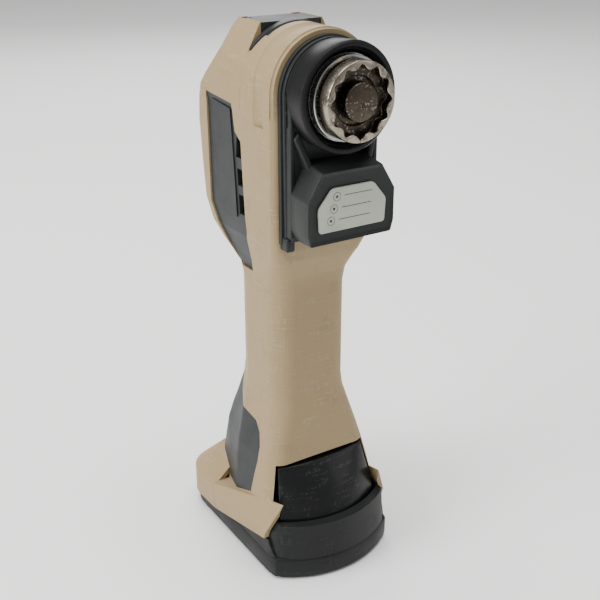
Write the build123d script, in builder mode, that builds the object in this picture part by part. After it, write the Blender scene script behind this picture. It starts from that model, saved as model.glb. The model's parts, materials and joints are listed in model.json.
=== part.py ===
from build123d import *
import os
from math import cos, radians, sin, sqrt

os.makedirs("parts", exist_ok=True)

# Cordless oscillating multi-tool standing on its slide-on battery.
# Millimetres, +Z up along the handle, spindle pointing along -Y.
# Origin: middle of the handle on the plane of the battery's bottom.

# ---- driving dimensions -------------------------------------------------
WALL = 3.0                  # moulded housing wall
GAP = 0.4                   # gap between parts that move past each other
JOIN = 0.15                 # gap between covers that are screwed together

SPINDLE_Z = 255.7           # height of the spindle axis
MOTOR_Y = 4.0               # motor axis, parallel to Z
ARCH_R = 28.7               # round end of the head
HEAD_FRONT = -33.0          # face that the front cover sits on
HEAD_TOP = SPINDLE_Z + ARCH_R
SHOULDER_Y = -4.0           # where the arch ends and the shoulders begin
SHOULDER = (17.2, 26.0, 268.0)  # half width on top, half width below and its height

# plan sections of the housing: height, half width, front, knee, half back,
# back, then corner radii at front, knee and back
FOOT_SECTIONS = [
    (14.0, 34.6, -41.0, 0.0, 22.6, 41.0, 7.0, 8.0, 8.0),
    (30.0, 34.2, -39.0, 1.0, 22.5, 40.0, 7.0, 8.0, 8.0),
    (40.0, 33.6, -37.0, 2.0, 22.0, 38.5, 7.5, 8.0, 8.0),
    (50.0, 32.2, -34.8, 3.0, 21.5, 36.5, 8.0, 8.0, 8.0),
    (60.0, 30.4, -32.8, 4.0, 21.0, 34.5, 8.5, 8.0, 8.0),
    (70.0, 28.0, -31.0, 5.0, 19.5, 31.5, 9.0, 8.0, 8.0),
    (80.0, 25.6, -29.0, 6.0, 17.0, 28.5, 10.0, 8.0, 8.0),
    (92.0, 22.8, -26.2, 6.0, 14.0, 26.0, 11.0, 8.0, 8.0),
]
GRIP_SECTIONS = [
    (100.0, 22.5, -25.5, 6.0, 13.0, 25.5, 12.0, 9.0, 8.0),
    (154.0, 22.5, -25.5, 6.0, 13.0, 25.5, 12.0, 9.0, 8.0),
]
HEAD_SECTIONS = [
    (162.0, 23.0, -26.5, 9.0, 14.0, 27.5, 11.0, 9.0, 9.0),
    (168.0, 24.2, -28.8, 16.0, 14.5, 33.0, 9.0, 9.0, 9.0),
    (174.0, 26.0, -31.3, 24.0, 15.5, 39.0, 7.0, 9.0, 9.0),
    (181.0, 28.0, -33.0, 30.0, 16.5, 45.0, 5.0, 10.0, 9.0),
    (192.0, 28.8, -33.0, 36.0, 17.5, 49.5, 4.0, 11.0, 10.0),
    (210.0, 28.9, -33.0, 38.0, 18.0, 52.0, 4.0, 11.0, 10.0),
    (232.0, 28.9, -33.0, 40.0, 18.5, 54.5, 4.0, 11.0, 10.0),
    (244.0, 28.9, -33.0, 39.0, 18.5, 54.0, 4.0, 11.0, 10.0),
    (251.0, 30.2, -33.0, 35.0, 18.5, 50.0, 4.0, 11.0, 10.0),
    (256.0, 30.2, -33.0, 30.0, 18.5, 45.5, 4.0, 10.0, 10.0),
    (266.0, 30.2, -33.0, 19.0, 20.0, 32.5, 4.0, 8.0, 8.0),
    (271.0, 30.2, -33.0, 14.0, 20.0, 26.5, 4.0, 7.0, 7.0),
    (277.0, 30.2, -33.0, 10.0, 20.0, 21.0, 4.0, 6.0, 6.0),
    (287.0, 30.2, -33.0, 9.0, 20.0, 15.0, 4.0, 3.0, 3.0),
]

# the wings that carry the battery: lines in side view, as (y, z)
WING_TOP = [(-43.5, 45.0), (20.0, 25.9)]
WING_LOW = [(-37.0, 23.2), (21.5, 8.2)]
WING_HALF = 39.0            # outside of the wings
WING_WALL = 2.8
LEAN = (27.0, 45.0, 8.0)      # above the first height the sides lean in, by this much at the second
SEAM_Y = 20.0               # wing ends here, rear skirt begins
SKIRT_BACK = 58.0
SKIRT_LOW = 6.0
SKIRT_EDGE_Z = 23.0         # top of the rear skirt's outside wall
SKIRT_TOP_Z = 38.0          # where its sloping ledge meets the foot

# battery
PACK_HALF = 37.3
PACK_FRONT = -57.0
PACK_BACK = 53.0
PACK_CORNER_R = 12.0
PACK_MID_HALF = 35.7
NOSE_RISE = 14.0            # from the front's middle to its side ends
PACK_LIP_Z = 33.0           # top of the front wall
PACK_WALL = 2.2
PACK_LEAN = 1.9             # how far the front leans back in a third of its lip's height
BAND_Z = 13.0               # seam of the two cases at the front
BAND_BACK_Y = -43.0
PACK_LOW_BACK = 5.0         # height of the lower case inside the rear skirt
BLOCK_TOP = 57.5            # top of the block behind the button
BLOCK_REAR_TOP = 44.0
BLOCK_STEP_Y = -8.0
BLOCK_REAR_HALF = 20.6
CELL_R = 9.1
CELL_LENGTH = 65.0
CELL_PITCH = 18.3
CELL_BACK = 27.0
CELL_LOW_Z = 11.6
TERMINAL_X = (-12.0, 0.0, 12.0)
BOARD_Z = 38.0

CELL_PLACES = [
    (-CELL_PITCH, CELL_LOW_Z),
    (0.0, CELL_LOW_Z),
    (CELL_PITCH, CELL_LOW_Z),
    (-CELL_PITCH / 2, CELL_LOW_Z + CELL_PITCH * sqrt(3) / 2),
    (CELL_PITCH / 2, CELL_LOW_Z + CELL_PITCH * sqrt(3) / 2),
]
PACK_SCREWS = [(-31.0, -20.0), (31.0, -20.0), (-31.0, 30.0), (31.0, 30.0)]
# side view of the top of the pack's shoulders, from the back to the front
PACK_SHOULDER = [(-60.0, PACK_LIP_Z), (-15.3, 32.6), (19.5, 21.5), (36.0, 19.5), (60.0, 16.0)]

# battery button
BUTTON_TOP_Z = 59.4
BUTTON_LOW_Z = 31.4
BUTTON_TOP_HALF = 26.6
BUTTON_LOW_HALF = 31.0
BUTTON_TOP_Y = (-34.8, -31.5)   # middle and side of the top edge
BUTTON_LOW_Y = (-50.2, -39.5)   # middle and side of the bottom edge
BUTTON_THICK = 3.0
BUTTON_BEHIND = 2.2         # room behind the button, as its slope moves down
BUTTON_RUN = 0.27           # how far the block's arch runs on below the button

# spindle train, radii about the spindle axis and places along Y
SPINDLE_R = 7.5
BOLT_R = 4.5
CUP_R = 18.3
CUP_FRONT = -61.9
CUP_FLOOR = -57.4
CUP_BACK = -55.0
STAR_OUT_R = 16.6
STAR_IN_R = 14.4
STAR_POINTS = 12
BOLT_HOLE_R = 10.9
BOLT_HEAD_R = 8.8
BOLT_FACE = -62.4
FRONT_BEARING = (-45.5, -36.5, 16.0)
REAR_BEARING = (13.5, 20.0, 11.0)
BEARING_CLEAR = 0.03
SPINDLE_BACK = 20.6
BOLT_BACK = 26.6
SPRING_BORE_R = 6.4
OSCILLATION = 1.8
ARM_Z = 238.0               # height of the eccentric bearing
ECCENTRICITY = (SPINDLE_Z - ARM_Z) * sin(radians(OSCILLATION))
ECC_BEARING_R = 8.0
FORK_GAP = ECC_BEARING_R + 2 * ECCENTRICITY + 0.2

# motor
SHAFT_R = 4.0
STATOR_R = 22.0
ROTOR_R = 11.5
STACK = (176.0, 208.0)
MOTOR_BEARING_R = 11.0

# clamp lever
LEVER_PIVOT = (34.0, 257.5)     # y, z
LEVER_HALF = 16.4
LEVER_ARM_HALF = 12.0
LEVER_NOSE_Y = -10.0
LEVER_SIDE = [
    (-10.0, 279.0),
    (-10.0, 284.2),
    (15.8, 284.2),
    (20.4, 277.0),
    (26.8, 270.6),
    (32.8, 265.8),
    (39.6, 260.0),
    (39.6, 255.0),
    (29.0, 255.0),
    (29.0, 258.5),
    (22.7, 266.0),
    (22.7, 273.4),
    (15.0, 279.0),
]
LEVER_WIDE_BACK = 12.5
LEVER_WIDE_FOOT = 8.5           # drawn in so that the lever clears its slot as it lifts
HUB_R = 5.6
PIN_R = 2.5
CAM_R = 6.3
CAM_OFFSET = 2.5
CAM_HALF = 4.0

# side view of the dark insert in the foot, its point towards the front
INSERT_OUTLINE = [
    (60.0, 27.0),
    (17.0, 29.0),
    (2.0, 31.5),
    (-14.5, 38.0),
    (-17.3, 58.0),
    (-16.8, 66.0),
    (-14.0, 73.0),
    (-8.5, 77.5),
    (6.0, 79.0),
    (15.0, 84.0),
    (20.0, 90.0),
    (60.0, 90.0),
]

# side view of the vent panels in the head
PANEL_OUTLINE = [
    (30.5, 248.5),
    (4.5, 246.5),
    (2.0, 233.5),
    (-3.5, 229.5),
    (-6.8, 185.0),
    (-2.5, 161.0),
    (12.0, 161.0),
    (20.0, 174.5),
    (29.5, 191.0),
]

# front cover and collar
COLLAR_R = 25.7
COLLAR_FRONT = -53.0
COVER_LOW = 186.0
LABEL_Y = -57.0

# grip
GRIP_BACK = 25.5
SWITCH_TRAVEL = 6.0
SWITCH_HALF = 7.0
SWITCH_Z = (114.0, 136.0)
NECK_HALF = 4.0
NECK_Z = (118.0, 132.0)
STRIP_Z = (91.0, 147.0)
STRIP_HALF = 12.5
STRIP_DEPTH = 2.0
# screws that join the halves: y, z and the outside of the right wall there
HOUSING_SCREWS = [
    (0.0, 150.0, 22.3),
    (-2.0, 95.0, 23.4),
    (-24.5, 184.0, 28.2),
    (36.0, 204.0, 28.4),
    (36.0, 232.0, 28.6),
]
SCREW_R = 1.6
SCREW_HEAD_R = 3.2
DIAL_R = 19.5
DIAL_Y = 17.5
DIAL_Z = (51.6, 58.8)


# ---- shared shapes ------------------------------------------------------
def spindle_plane(y):
    """Plane across the spindle axis at y, its normal towards the tool (-Y)."""
    return Plane(origin=(0, y, SPINDLE_Z), x_dir=(1, 0, 0), z_dir=(0, -1, 0))


def motor_plane(z):
    """Plane across the motor axis at height z."""
    return Plane(origin=(0, MOTOR_Y, z), x_dir=(1, 0, 0), z_dir=(0, 0, 1))


def side_plane(x):
    """Plane seen from the side: its local x is Y and its local y is Z."""
    return Plane(origin=(x, 0, 0), x_dir=(0, 1, 0), z_dir=(1, 0, 0))


def front_plane(y):
    """Plane seen from the front: local x is X, local y is Z, normal -Y."""
    return Plane(origin=(0, y, 0), x_dir=(1, 0, 0), z_dir=(0, -1, 0))


def plan_outline(z, half, front, knee, half_back, back, r_front, r_knee, r_back):
    """Six-corner plan section of the housing at height z."""
    corners = [
        (half, front),
        (half, knee),
        (half_back, back),
        (-half_back, back),
        (-half, knee),
        (-half, front),
    ]
    radii = [r_front, r_knee, r_back, r_back, r_knee, r_front]
    with BuildSketch(Plane.XY.offset(z)) as outline:
        with BuildLine():
            FilletPolyline(*corners, radius=radii, close=True)
        make_face()
    return outline.sketch


def housing_sections(inset):
    """All plan sections of the housing, drawn in by a wall's thickness."""
    outlines = []
    for section in FOOT_SECTIONS + GRIP_SECTIONS + HEAD_SECTIONS:
        z, half, front, knee, half_back, back, r_front, r_knee, r_back = section
        outline = plan_outline(
            z,
            half - inset,
            front + inset,
            knee - inset / 3,
            half_back - inset / 2,
            back - inset,
            max(r_front - inset, 1.0),
            r_knee - inset / 2,
            r_back - inset / 2,
        )
        outlines.append(outline)
    return outlines


def arch_outline(y, radius, half, low):
    """Front view with straight sides and a round top about the spindle."""
    with BuildSketch(front_plane(y)) as outline:
        with BuildLine():
            Polyline((-radius, SPINDLE_Z), (-half, low), (half, low), (radius, SPINDLE_Z))
            CenterArc((0, SPINDLE_Z), radius, 0, 180)
        make_face()
    return outline.sketch


def side_outline(x, corners):
    """Straight-edged outline seen from the side, corners as (y, z)."""
    with BuildSketch(side_plane(x)) as outline:
        with BuildLine():
            Polyline(*corners, close=True)
        make_face()
    return outline.sketch


def front_outline(y, corners):
    """Straight-edged outline seen from the front, corners as (x, z)."""
    with BuildSketch(front_plane(y)) as outline:
        with BuildLine():
            Polyline(*corners, close=True)
        make_face()
    return outline.sketch


def pack_outline(z, half, front, back, corner_back, corner_front):
    """Plan of the battery: arched front, straight sides, rounded back."""
    side_front = front + NOSE_RISE
    with BuildSketch(Plane.XY.offset(z)) as outline:
        with BuildLine():
            nose = ThreePointArc((-half, side_front), (0, front), (half, side_front))
            Polyline(nose @ 1, (half, back), (-half, back), nose @ 0)
        make_face()
        fillet(outline.vertices().group_by(Axis.Y)[-1], radius=corner_back)
        fillet(outline.vertices().group_by(Axis.Y)[0], radius=corner_front)
    return outline.sketch


def line_height(line, y):
    """Height at y of a straight line given by two (y, z) points."""
    (y0, z0), (y1, z1) = line
    return z0 + (z1 - z0) * (y - y0) / (y1 - y0)


def notch_outline(y, grow):
    """Front view of the opening for the battery button."""
    top = BUTTON_TOP_HALF + grow
    low = BUTTON_LOW_HALF + grow
    corners = [(-top, 60 + grow), (top, 60 + grow), (low, 40), (low, 0), (-low, 0), (-low, 40)]
    return front_outline(y, corners)


def lean_outline(y, half):
    """Front view of a foot whose sides lean in above the battery's band."""
    low, high, run = LEAN
    corners = [(-half, -9), (half, -9), (half, low), (half - run, high), (half - run, 90)]
    corners += [(run - half, 90), (run - half, high), (-half, low)]
    return front_outline(y, corners)


def ring(plane, r_out, r_in, length):
    """Extrude a ring from a plane along its normal, in the active part."""
    with BuildSketch(plane) as outline:
        Circle(r_out)
        Circle(r_in, mode=Mode.SUBTRACT)
    extrude(outline.sketch, amount=length)


def disc(plane, radius, length, mode=Mode.ADD):
    """Extrude a disc from a plane along its normal, in the active part."""
    with BuildSketch(plane) as outline:
        Circle(radius)
    extrude(outline.sketch, amount=length, mode=mode)


def block(x_range, y_range, z_range, mode=Mode.ADD):
    """Rectangular block between two limits on each axis, in the active part."""
    with BuildSketch(Plane.XY.offset(z_range[0])) as outline:
        with Locations((sum(x_range) / 2, sum(y_range) / 2)):
            Rectangle(x_range[1] - x_range[0], y_range[1] - y_range[0])
    extrude(outline.sketch, amount=z_range[1] - z_range[0], mode=mode)


def ball_bearing(plane, r_in, r_out, width, balls):
    """Inner race, outer race and balls, in the active part."""
    middle = (r_in + r_out) / 2
    ball_r = (r_out - r_in) * 0.24
    inner = middle - ball_r * 0.75
    outer = middle + ball_r * 0.75
    ring(plane, r_out, outer, width)
    ring(plane, inner, r_in, width)
    with Locations(plane.offset(width / 2)):
        with PolarLocations(middle, balls):
            Sphere(ball_r * 0.7)


def across(outline, length, mode=Mode.ADD):
    """Extrude a side view towards +X, in the active part."""
    extrude(outline, amount=length, dir=(1, 0, 0), mode=mode)


def rearwards(outline, length, mode=Mode.ADD):
    """Extrude a front view towards +Y, in the active part."""
    extrude(outline, amount=length, dir=(0, 1, 0), mode=mode)


def finish(builder, name):
    """Label a finished piece and write its STEP file."""
    builder.part.label = name
    export_step(builder.part, "parts/" + name + ".step")


# ---- housing halves, rear skirt and rear insert -------------------------
def envelope(inset):
    """Round at the front, square shouldered behind it, drawn in by inset."""
    with BuildPart() as room:
        rearwards(arch_outline(-90, ARCH_R - inset, ARCH_R + 8, 0), 90 + SHOULDER_Y + inset)
        half, low_half, bottom = SHOULDER
        corners = [
            (-half + inset / 2, HEAD_TOP - inset),
            (half - inset / 2, HEAD_TOP - inset),
            (low_half - inset, bottom),
            (ARCH_R - inset, SPINDLE_Z + 2),
            (ARCH_R + 8, 0),
            (-ARCH_R - 8, 0),
            (inset - ARCH_R, SPINDLE_Z + 2),
            (-low_half + inset, bottom),
        ]
        rearwards(front_outline(SHOULDER_Y + inset, corners), 90)
    return room.part


with BuildPart() as outer_form:
    loft(housing_sections(0.0), ruled=True)
    add(envelope(0.0), mode=Mode.INTERSECT)

with BuildPart() as inner_form:
    loft(housing_sections(WALL), ruled=True)
    add(envelope(WALL), mode=Mode.INTERSECT)

# everything above the underside of the ledge that the wings hang from
ledge_line = [(y, z - WALL) for y, z in WING_TOP]
ledge_back = line_height(ledge_line, SEAM_Y)
ledge_front = line_height(ledge_line, -80)
ledge_side = [(-80, ledge_front), (SEAM_Y, ledge_back), (80, ledge_back), (80, 300), (-80, 300)]
with BuildPart() as above_ledge:
    across(side_outline(-60, ledge_side), 120)

with BuildPart() as insert_form:
    across(side_outline(-60, INSERT_OUTLINE), 120)

with BuildPart() as channel_form:
    plan = pack_outline(0, WING_HALF - WING_WALL, PACK_FRONT + 1.3, SKIRT_BACK - WING_WALL, 18, PACK_CORNER_R)
    extrude(plan, amount=60)
    rearwards(lean_outline(-90, WING_HALF - WING_WALL), 180, mode=Mode.INTERSECT)
    add(above_ledge.part, mode=Mode.SUBTRACT)

wing_side = [WING_TOP[0], WING_LOW[0], (SEAM_Y, line_height(WING_LOW, SEAM_Y)), WING_TOP[1]]
with BuildPart() as wing_form:
    extrude(pack_outline(0, WING_HALF, PACK_FRONT - 1.5, SKIRT_BACK, 20, PACK_CORNER_R), amount=60)
    across(side_outline(-60, wing_side), 120, mode=Mode.INTERSECT)
    rearwards(lean_outline(-90, WING_HALF), 180, mode=Mode.INTERSECT)
    add(channel_form.part, mode=Mode.SUBTRACT)
    add(inner_form.part, mode=Mode.SUBTRACT)
    rearwards(notch_outline(-90, 0.8), 70, mode=Mode.SUBTRACT)

lever_slot = [(LEVER_NOSE_Y - GAP, 290), (LEVER_NOSE_Y - GAP, 278.6), (13.6, 278.6), (16, 283), (16, 290)]
swing_slot = [(10, 290), (10, 262), (24, 248), (42.5, 248), (45.5, 262), (45.5, 290)]
with BuildPart() as shell_form:
    add(outer_form.part)
    add(inner_form.part, mode=Mode.SUBTRACT)
    add(above_ledge.part, mode=Mode.INTERSECT)
    add(wing_form.part)
    add(insert_form.part, mode=Mode.SUBTRACT)
    rearwards(notch_outline(-90, 0.8), 80, mode=Mode.SUBTRACT)
    # opening for the gear housing behind the front cover
    rearwards(arch_outline(-60, 23.0, 21.0, 226.0), 40, mode=Mode.SUBTRACT)
    # slots that the clamp lever lies in and swings in
    across(side_outline(-LEVER_HALF - GAP, lever_slot), 2 * (LEVER_HALF + GAP), mode=Mode.SUBTRACT)
    across(side_outline(-LEVER_ARM_HALF - GAP, swing_slot), 2 * (LEVER_ARM_HALF + GAP), mode=Mode.SUBTRACT)
    # openings for the side panels
    across(side_outline(-ARCH_R - 2, PANEL_OUTLINE), 12, mode=Mode.SUBTRACT)
    across(side_outline(ARCH_R - 10, PANEL_OUTLINE), 12, mode=Mode.SUBTRACT)
    # recess for the grip strip and slot for the slide switch
    block((-STRIP_HALF, STRIP_HALF), (GRIP_BACK - STRIP_DEPTH, 40), STRIP_Z, mode=Mode.SUBTRACT)
    block(
        (-NECK_HALF - GAP, NECK_HALF + GAP),
        (15, 40),
        (NECK_Z[0] - GAP, NECK_Z[1] + SWITCH_TRAVEL + GAP),
        mode=Mode.SUBTRACT,
    )

with BuildPart() as housing_left:
    add(shell_form.part)
    split(bisect_by=Plane.YZ, keep=Keep.BOTTOM)
finish(housing_left, "housing_left")

with BuildPart() as housing_right:
    add(shell_form.part)
    split(bisect_by=Plane.YZ, keep=Keep.TOP)
    for y, z, outside in HOUSING_SCREWS:
        seat = Plane(origin=(outside + 3, y, z), z_dir=(-1, 0, 0))
        disc(seat, SCREW_HEAD_R + 0.2, 5.6, mode=Mode.SUBTRACT)
        disc(seat, SCREW_R + 0.2, 12, mode=Mode.SUBTRACT)
finish(housing_right, "housing_right")

# ---- rear skirt and insert ----------------------------------------------
SKIRT_SLOPE = 48.0
with BuildPart() as skirt_cavity:
    with BuildSketch(Plane.XY) as plan:
        with Locations((0, SKIRT_BACK - WING_WALL - 40)):
            Rectangle(2 * (WING_HALF - WING_WALL), 80)
        fillet(plan.vertices().group_by(Axis.Y)[-1], radius=17)
    extrude(plan.sketch, amount=SKIRT_EDGE_Z - 1.2)
    top = skirt_cavity.faces().sort_by(Axis.Z)[-1]
    extrude(top, amount=11, taper=SKIRT_SLOPE)

with BuildPart() as rear_skirt:
    with BuildSketch(Plane.XY) as plan:
        with Locations((0, SKIRT_BACK - 40)):
            Rectangle(2 * WING_HALF, 80)
        fillet(plan.vertices().group_by(Axis.Y)[-1], radius=20)
    extrude(plan.sketch, amount=SKIRT_EDGE_Z)
    top = rear_skirt.faces().sort_by(Axis.Z)[-1]
    extrude(top, amount=SKIRT_TOP_Z - SKIRT_EDGE_Z, taper=SKIRT_SLOPE)
    skirt_side = [
        (SEAM_Y + JOIN, line_height(WING_LOW, SEAM_Y)),
        (80, SKIRT_LOW),
        (80, 60),
        (SEAM_Y + JOIN, 60),
    ]
    across(side_outline(-60, skirt_side), 120, mode=Mode.INTERSECT)
    add(skirt_cavity.part, mode=Mode.SUBTRACT)
    add(outer_form.part, mode=Mode.SUBTRACT)
finish(rear_skirt, "rear_skirt")

with BuildPart() as rear_insert:
    add(outer_form.part)
    add(inner_form.part, mode=Mode.SUBTRACT)
    add(insert_form.part, mode=Mode.INTERSECT)
    block((-14.8, 14.8), (24, 60), (DIAL_Z[0] - GAP, DIAL_Z[1] + GAP), mode=Mode.SUBTRACT)
finish(rear_insert, "rear_insert")

# ---- grip strip and slide switch ----------------------------------------
with BuildPart() as grip_back_strip:
    block(
        (-STRIP_HALF + JOIN, STRIP_HALF - JOIN),
        (GRIP_BACK - STRIP_DEPTH, GRIP_BACK + 0.9),
        (STRIP_Z[0] + JOIN, STRIP_Z[1] - JOIN),
    )
    fillet(grip_back_strip.edges().filter_by(Axis.Z).sort_by(Axis.Y)[-2:], radius=1.6)
    block(
        (-SWITCH_HALF - GAP, SWITCH_HALF + GAP),
        (20, 40),
        (SWITCH_Z[0] - 1, SWITCH_Z[1] + SWITCH_TRAVEL + 1),
        mode=Mode.SUBTRACT,
    )
finish(grip_back_strip, "grip_back_strip")

with BuildPart() as slide_switch:
    block((-SWITCH_HALF, SWITCH_HALF), (GRIP_BACK - 1.5, GRIP_BACK + 3.4), SWITCH_Z)
    fillet(slide_switch.faces().sort_by(Axis.Y)[-1].edges(), radius=1.4)
    for step in range(4):
        ridge_z = SWITCH_Z[0] + 5.5 + 3.5 * step
        block((-5, 5), (GRIP_BACK + 3, GRIP_BACK + 4.2), (ridge_z, ridge_z + 1.2))
    block((-NECK_HALF, NECK_HALF), (22.2, GRIP_BACK - 1.5), NECK_Z)
    block((-9, 9), (20.2, 22.2), (110, 140))
finish(slide_switch, "slide_switch")

with BuildPart() as switch_link:
    block((-3, 3), (18, 20.2), (96, 132))
finish(switch_link, "switch_link")

with BuildPart() as switch_module:
    block((-9, 9), (4, 17.6), (92, 112))
    block((-2.5, 2.5), (8, 13), (112, 114))
    fillet(switch_module.edges().filter_by(Axis.Z), radius=0.8)
finish(switch_module, "switch_module")

# ---- electronics ----------------------------------------------------------
with BuildPart() as controller_board:
    block((-15, 15), (-19.5, -8), (70, 138))
    fillet(controller_board.edges().filter_by(Axis.Z), radius=1.5)
    block((-13, 13), (-10, -7), (72, 136), mode=Mode.SUBTRACT)
finish(controller_board, "controller_board")

with BuildPart() as lead_wires:
    for x in (-6, 0, 6):
        disc(Plane(origin=(x, -17.5, 138.2)), 1.1, 30)
finish(lead_wires, "lead_wires")

with BuildPart() as dial_module:
    block((-16.5, 16.5), (4, 29), (60.2, 62))
    disc(Plane(origin=(0, DIAL_Y, 50.2)), 3.0, 10)
finish(dial_module, "dial_module")

with BuildPart() as speed_dial:
    ring(Plane(origin=(0, DIAL_Y, DIAL_Z[0])), DIAL_R, 3.05, DIAL_Z[1] - DIAL_Z[0])
    with BuildSketch(Plane(origin=(0, DIAL_Y, DIAL_Z[0]))) as grooves:
        with PolarLocations(DIAL_R, 36):
            Rectangle(1.2, 1.3)
    extrude(grooves.sketch, amount=20, mode=Mode.SUBTRACT)
finish(speed_dial, "speed_dial")

with BuildPart() as terminal_block:
    block((-18, 18), (2, 30), (44.9, 50))
    fillet(terminal_block.edges().filter_by(Axis.Z), radius=2)
finish(terminal_block, "terminal_block")

with BuildPart() as terminal_blades:
    for x in TERMINAL_X:
        block((x - 0.4, x + 0.4), (6, 20), (40, 44.9))
finish(terminal_blades, "terminal_blades")

# ---- head: panels, rating plates, cover, label ----------------------------
PANEL_SINK = 1.0
with BuildPart() as sunk_form:
    loft(housing_sections(PANEL_SINK), ruled=True)
    add(inner_form.part, mode=Mode.SUBTRACT)

VENTS = [
    [(-2.6, 220.5), (-2.0, 229.0), (2.0, 231.0), (3.0, 220.5)],
    [(-3.6, 206.5), (-3.0, 215.0), (2.2, 215.0), (1.6, 206.5)],
    [(-4.6, 192.0), (-4.0, 202.0), (1.2, 202.0), (0.6, 192.0)],
]
for side, name in ((-1, "side_panel_left"), (1, "side_panel_right")):
    with BuildPart() as side_panel:
        add(sunk_form.part)
        half_prism = side_outline(-40 if side < 0 else 12, PANEL_OUTLINE)
        across(half_prism, 28, mode=Mode.INTERSECT)
        for vent in VENTS:
            across(side_outline(-60, vent), 120, mode=Mode.SUBTRACT)
    finish(side_panel, name)

PLATE_OUTLINE = [
    (25.0, 245.5),
    (7.0, 243.5),
    (5.8, 232.0),
    (4.6, 219.0),
    (3.4, 205.0),
    (2.4, 190.0),
    (14.0, 188.5),
    (20.5, 197.0),
]
for side, name in ((-1, "rating_plate_left"), (1, "rating_plate_right")):
    with BuildPart() as rating_plate:
        across(side_outline(28.1 if side > 0 else -28.58, PLATE_OUTLINE), 0.48)
    finish(rating_plate, name)

COVER_BASE = (-41.0, HEAD_FRONT - JOIN)
PLATFORM = [
    (-22.7, 190.5), (22.7, 190.5), (24.6, 196), (24.6, 213),
    (17, 226), (-17, 226), (-24.6, 213), (-24.6, 196),
]
with BuildPart() as front_cover:
    rearwards(front_outline(LABEL_Y + 1, PLATFORM), COVER_BASE[0] - LABEL_Y - 1)
    chamfer(front_cover.faces().sort_by(Axis.Y)[0].edges(), length=2.4)
    rearwards(arch_outline(COVER_BASE[0], 26.0, 25.8, COVER_LOW), COVER_BASE[1] - COVER_BASE[0])
    disc(spindle_plane(COVER_BASE[0]), COLLAR_R, COVER_BASE[0] - COLLAR_FRONT)
    chamfer(front_cover.faces().filter_by(GeomType.CYLINDER).edges().sort_by(Axis.Y)[0], length=1.0)
    for side in (-1, 1):
        block((side * 23 - 2.4, side * 23 + 2.4), (-40, HEAD_FRONT - JOIN), (183.2, COVER_LOW))
        block((side * 26.5 - 1.6, side * 26.5 + 1.6), (-37.8, -35.6), (192, 248), mode=Mode.SUBTRACT)
    disc(spindle_plane(-20), 21.0, 50, mode=Mode.SUBTRACT)
    block((-18, 18), (-52.5, -20), (194, 230), mode=Mode.SUBTRACT)
finish(front_cover, "front_cover")

LABEL = [(-18.3, 198.6), (18.3, 198.6), (18.9, 210.2), (11.4, 219.2), (-11.4, 219.2), (-18.9, 210.2)]
with BuildPart() as label_plate:
    rearwards(front_outline(LABEL_Y, LABEL), 1.0)
finish(label_plate, "label_plate")

# ---- gear housing ----------------------------------------------------------
GEAR_BACK = 14.0
GEAR_R = 22.0
NOSE_R = 19.0
NOSE_FRONT = -49.0
GEAR_BORE_R = 14.5
GEAR_LOW = 223.5
BEARING_SEAT_Z = 224.5
BEARING_TOP_Z = 231.5
with BuildPart() as gear_housing:
    disc(spindle_plane(GEAR_BACK), GEAR_R, GEAR_BACK + 30)
    disc(spindle_plane(-30), NOSE_R, -30 - NOSE_FRONT)
    block((-20, 20), (-14, 20), (GEAR_LOW, 233.2))
    block((-20, 20), (-14, GEAR_BACK), (233.2, 250))
    disc(spindle_plane(GEAR_BACK), GEAR_BORE_R, GEAR_BACK - FRONT_BEARING[1], mode=Mode.SUBTRACT)
    disc(spindle_plane(FRONT_BEARING[1]), FRONT_BEARING[2], 9, mode=Mode.SUBTRACT)
    disc(spindle_plane(-40), 11, 20, mode=Mode.SUBTRACT)
    block((-16, 16), (-7, GEAR_BACK), (BEARING_TOP_Z, 256), mode=Mode.SUBTRACT)
    disc(motor_plane(BEARING_SEAT_Z), MOTOR_BEARING_R, BEARING_TOP_Z - BEARING_SEAT_Z, mode=Mode.SUBTRACT)
    disc(motor_plane(GEAR_LOW), 6, 2, mode=Mode.SUBTRACT)
    for x in (-1, 1):
        for z in (-1, 1):
            hole = Plane(origin=(x * 17.6, GEAR_BACK, SPINDLE_Z + z * 4.7), z_dir=(0, -1, 0))
            disc(hole, 1.5, 14, mode=Mode.SUBTRACT)
finish(gear_housing, "gear_housing")

COVER_R = 14.6
COVER_BACK = 22.0
with BuildPart() as gear_housing_cover:
    disc(spindle_plane(COVER_BACK), COVER_R, COVER_BACK - GEAR_BACK)
    block((-21, 21), (GEAR_BACK, 19), (SPINDLE_Z - 8, SPINDLE_Z + 8))
    block((-19, 19), (GEAR_BACK, 18), (233.2, 250))
    disc(spindle_plane(REAR_BEARING[1]), REAR_BEARING[2], 10, mode=Mode.SUBTRACT)
    disc(spindle_plane(COVER_BACK), 8.2, 10, mode=Mode.SUBTRACT)
    for x in (-1, 1):
        for z in (-1, 1):
            hole = Plane(origin=(x * 17.6, COVER_BACK, SPINDLE_Z + z * 4.7), z_dir=(0, -1, 0))
            disc(hole, 1.6, 14, mode=Mode.SUBTRACT)
finish(gear_housing_cover, "gear_housing_cover")

with BuildPart() as gear_housing_screws:
    for x in (-1, 1):
        for z in (-1, 1):
            head = Plane(origin=(x * 17.6, 21.0, SPINDLE_Z + z * 4.7), z_dir=(0, -1, 0))
            disc(head, 2.8, 2)
            disc(head.offset(2), 1.5, 17)
finish(gear_housing_screws, "gear_housing_screws")

with BuildPart() as damper_rings:
    ring(spindle_plane(-26), 25.2, GEAR_R, 3)
    ring(spindle_plane(-18), 25.2, GEAR_R, 3)
finish(damper_rings, "damper_rings")

with BuildPart() as front_spindle_bearing:
    ball_bearing(spindle_plane(FRONT_BEARING[1]), SPINDLE_R + BEARING_CLEAR, FRONT_BEARING[2], 9, 9)
finish(front_spindle_bearing, "front_spindle_bearing")

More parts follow.
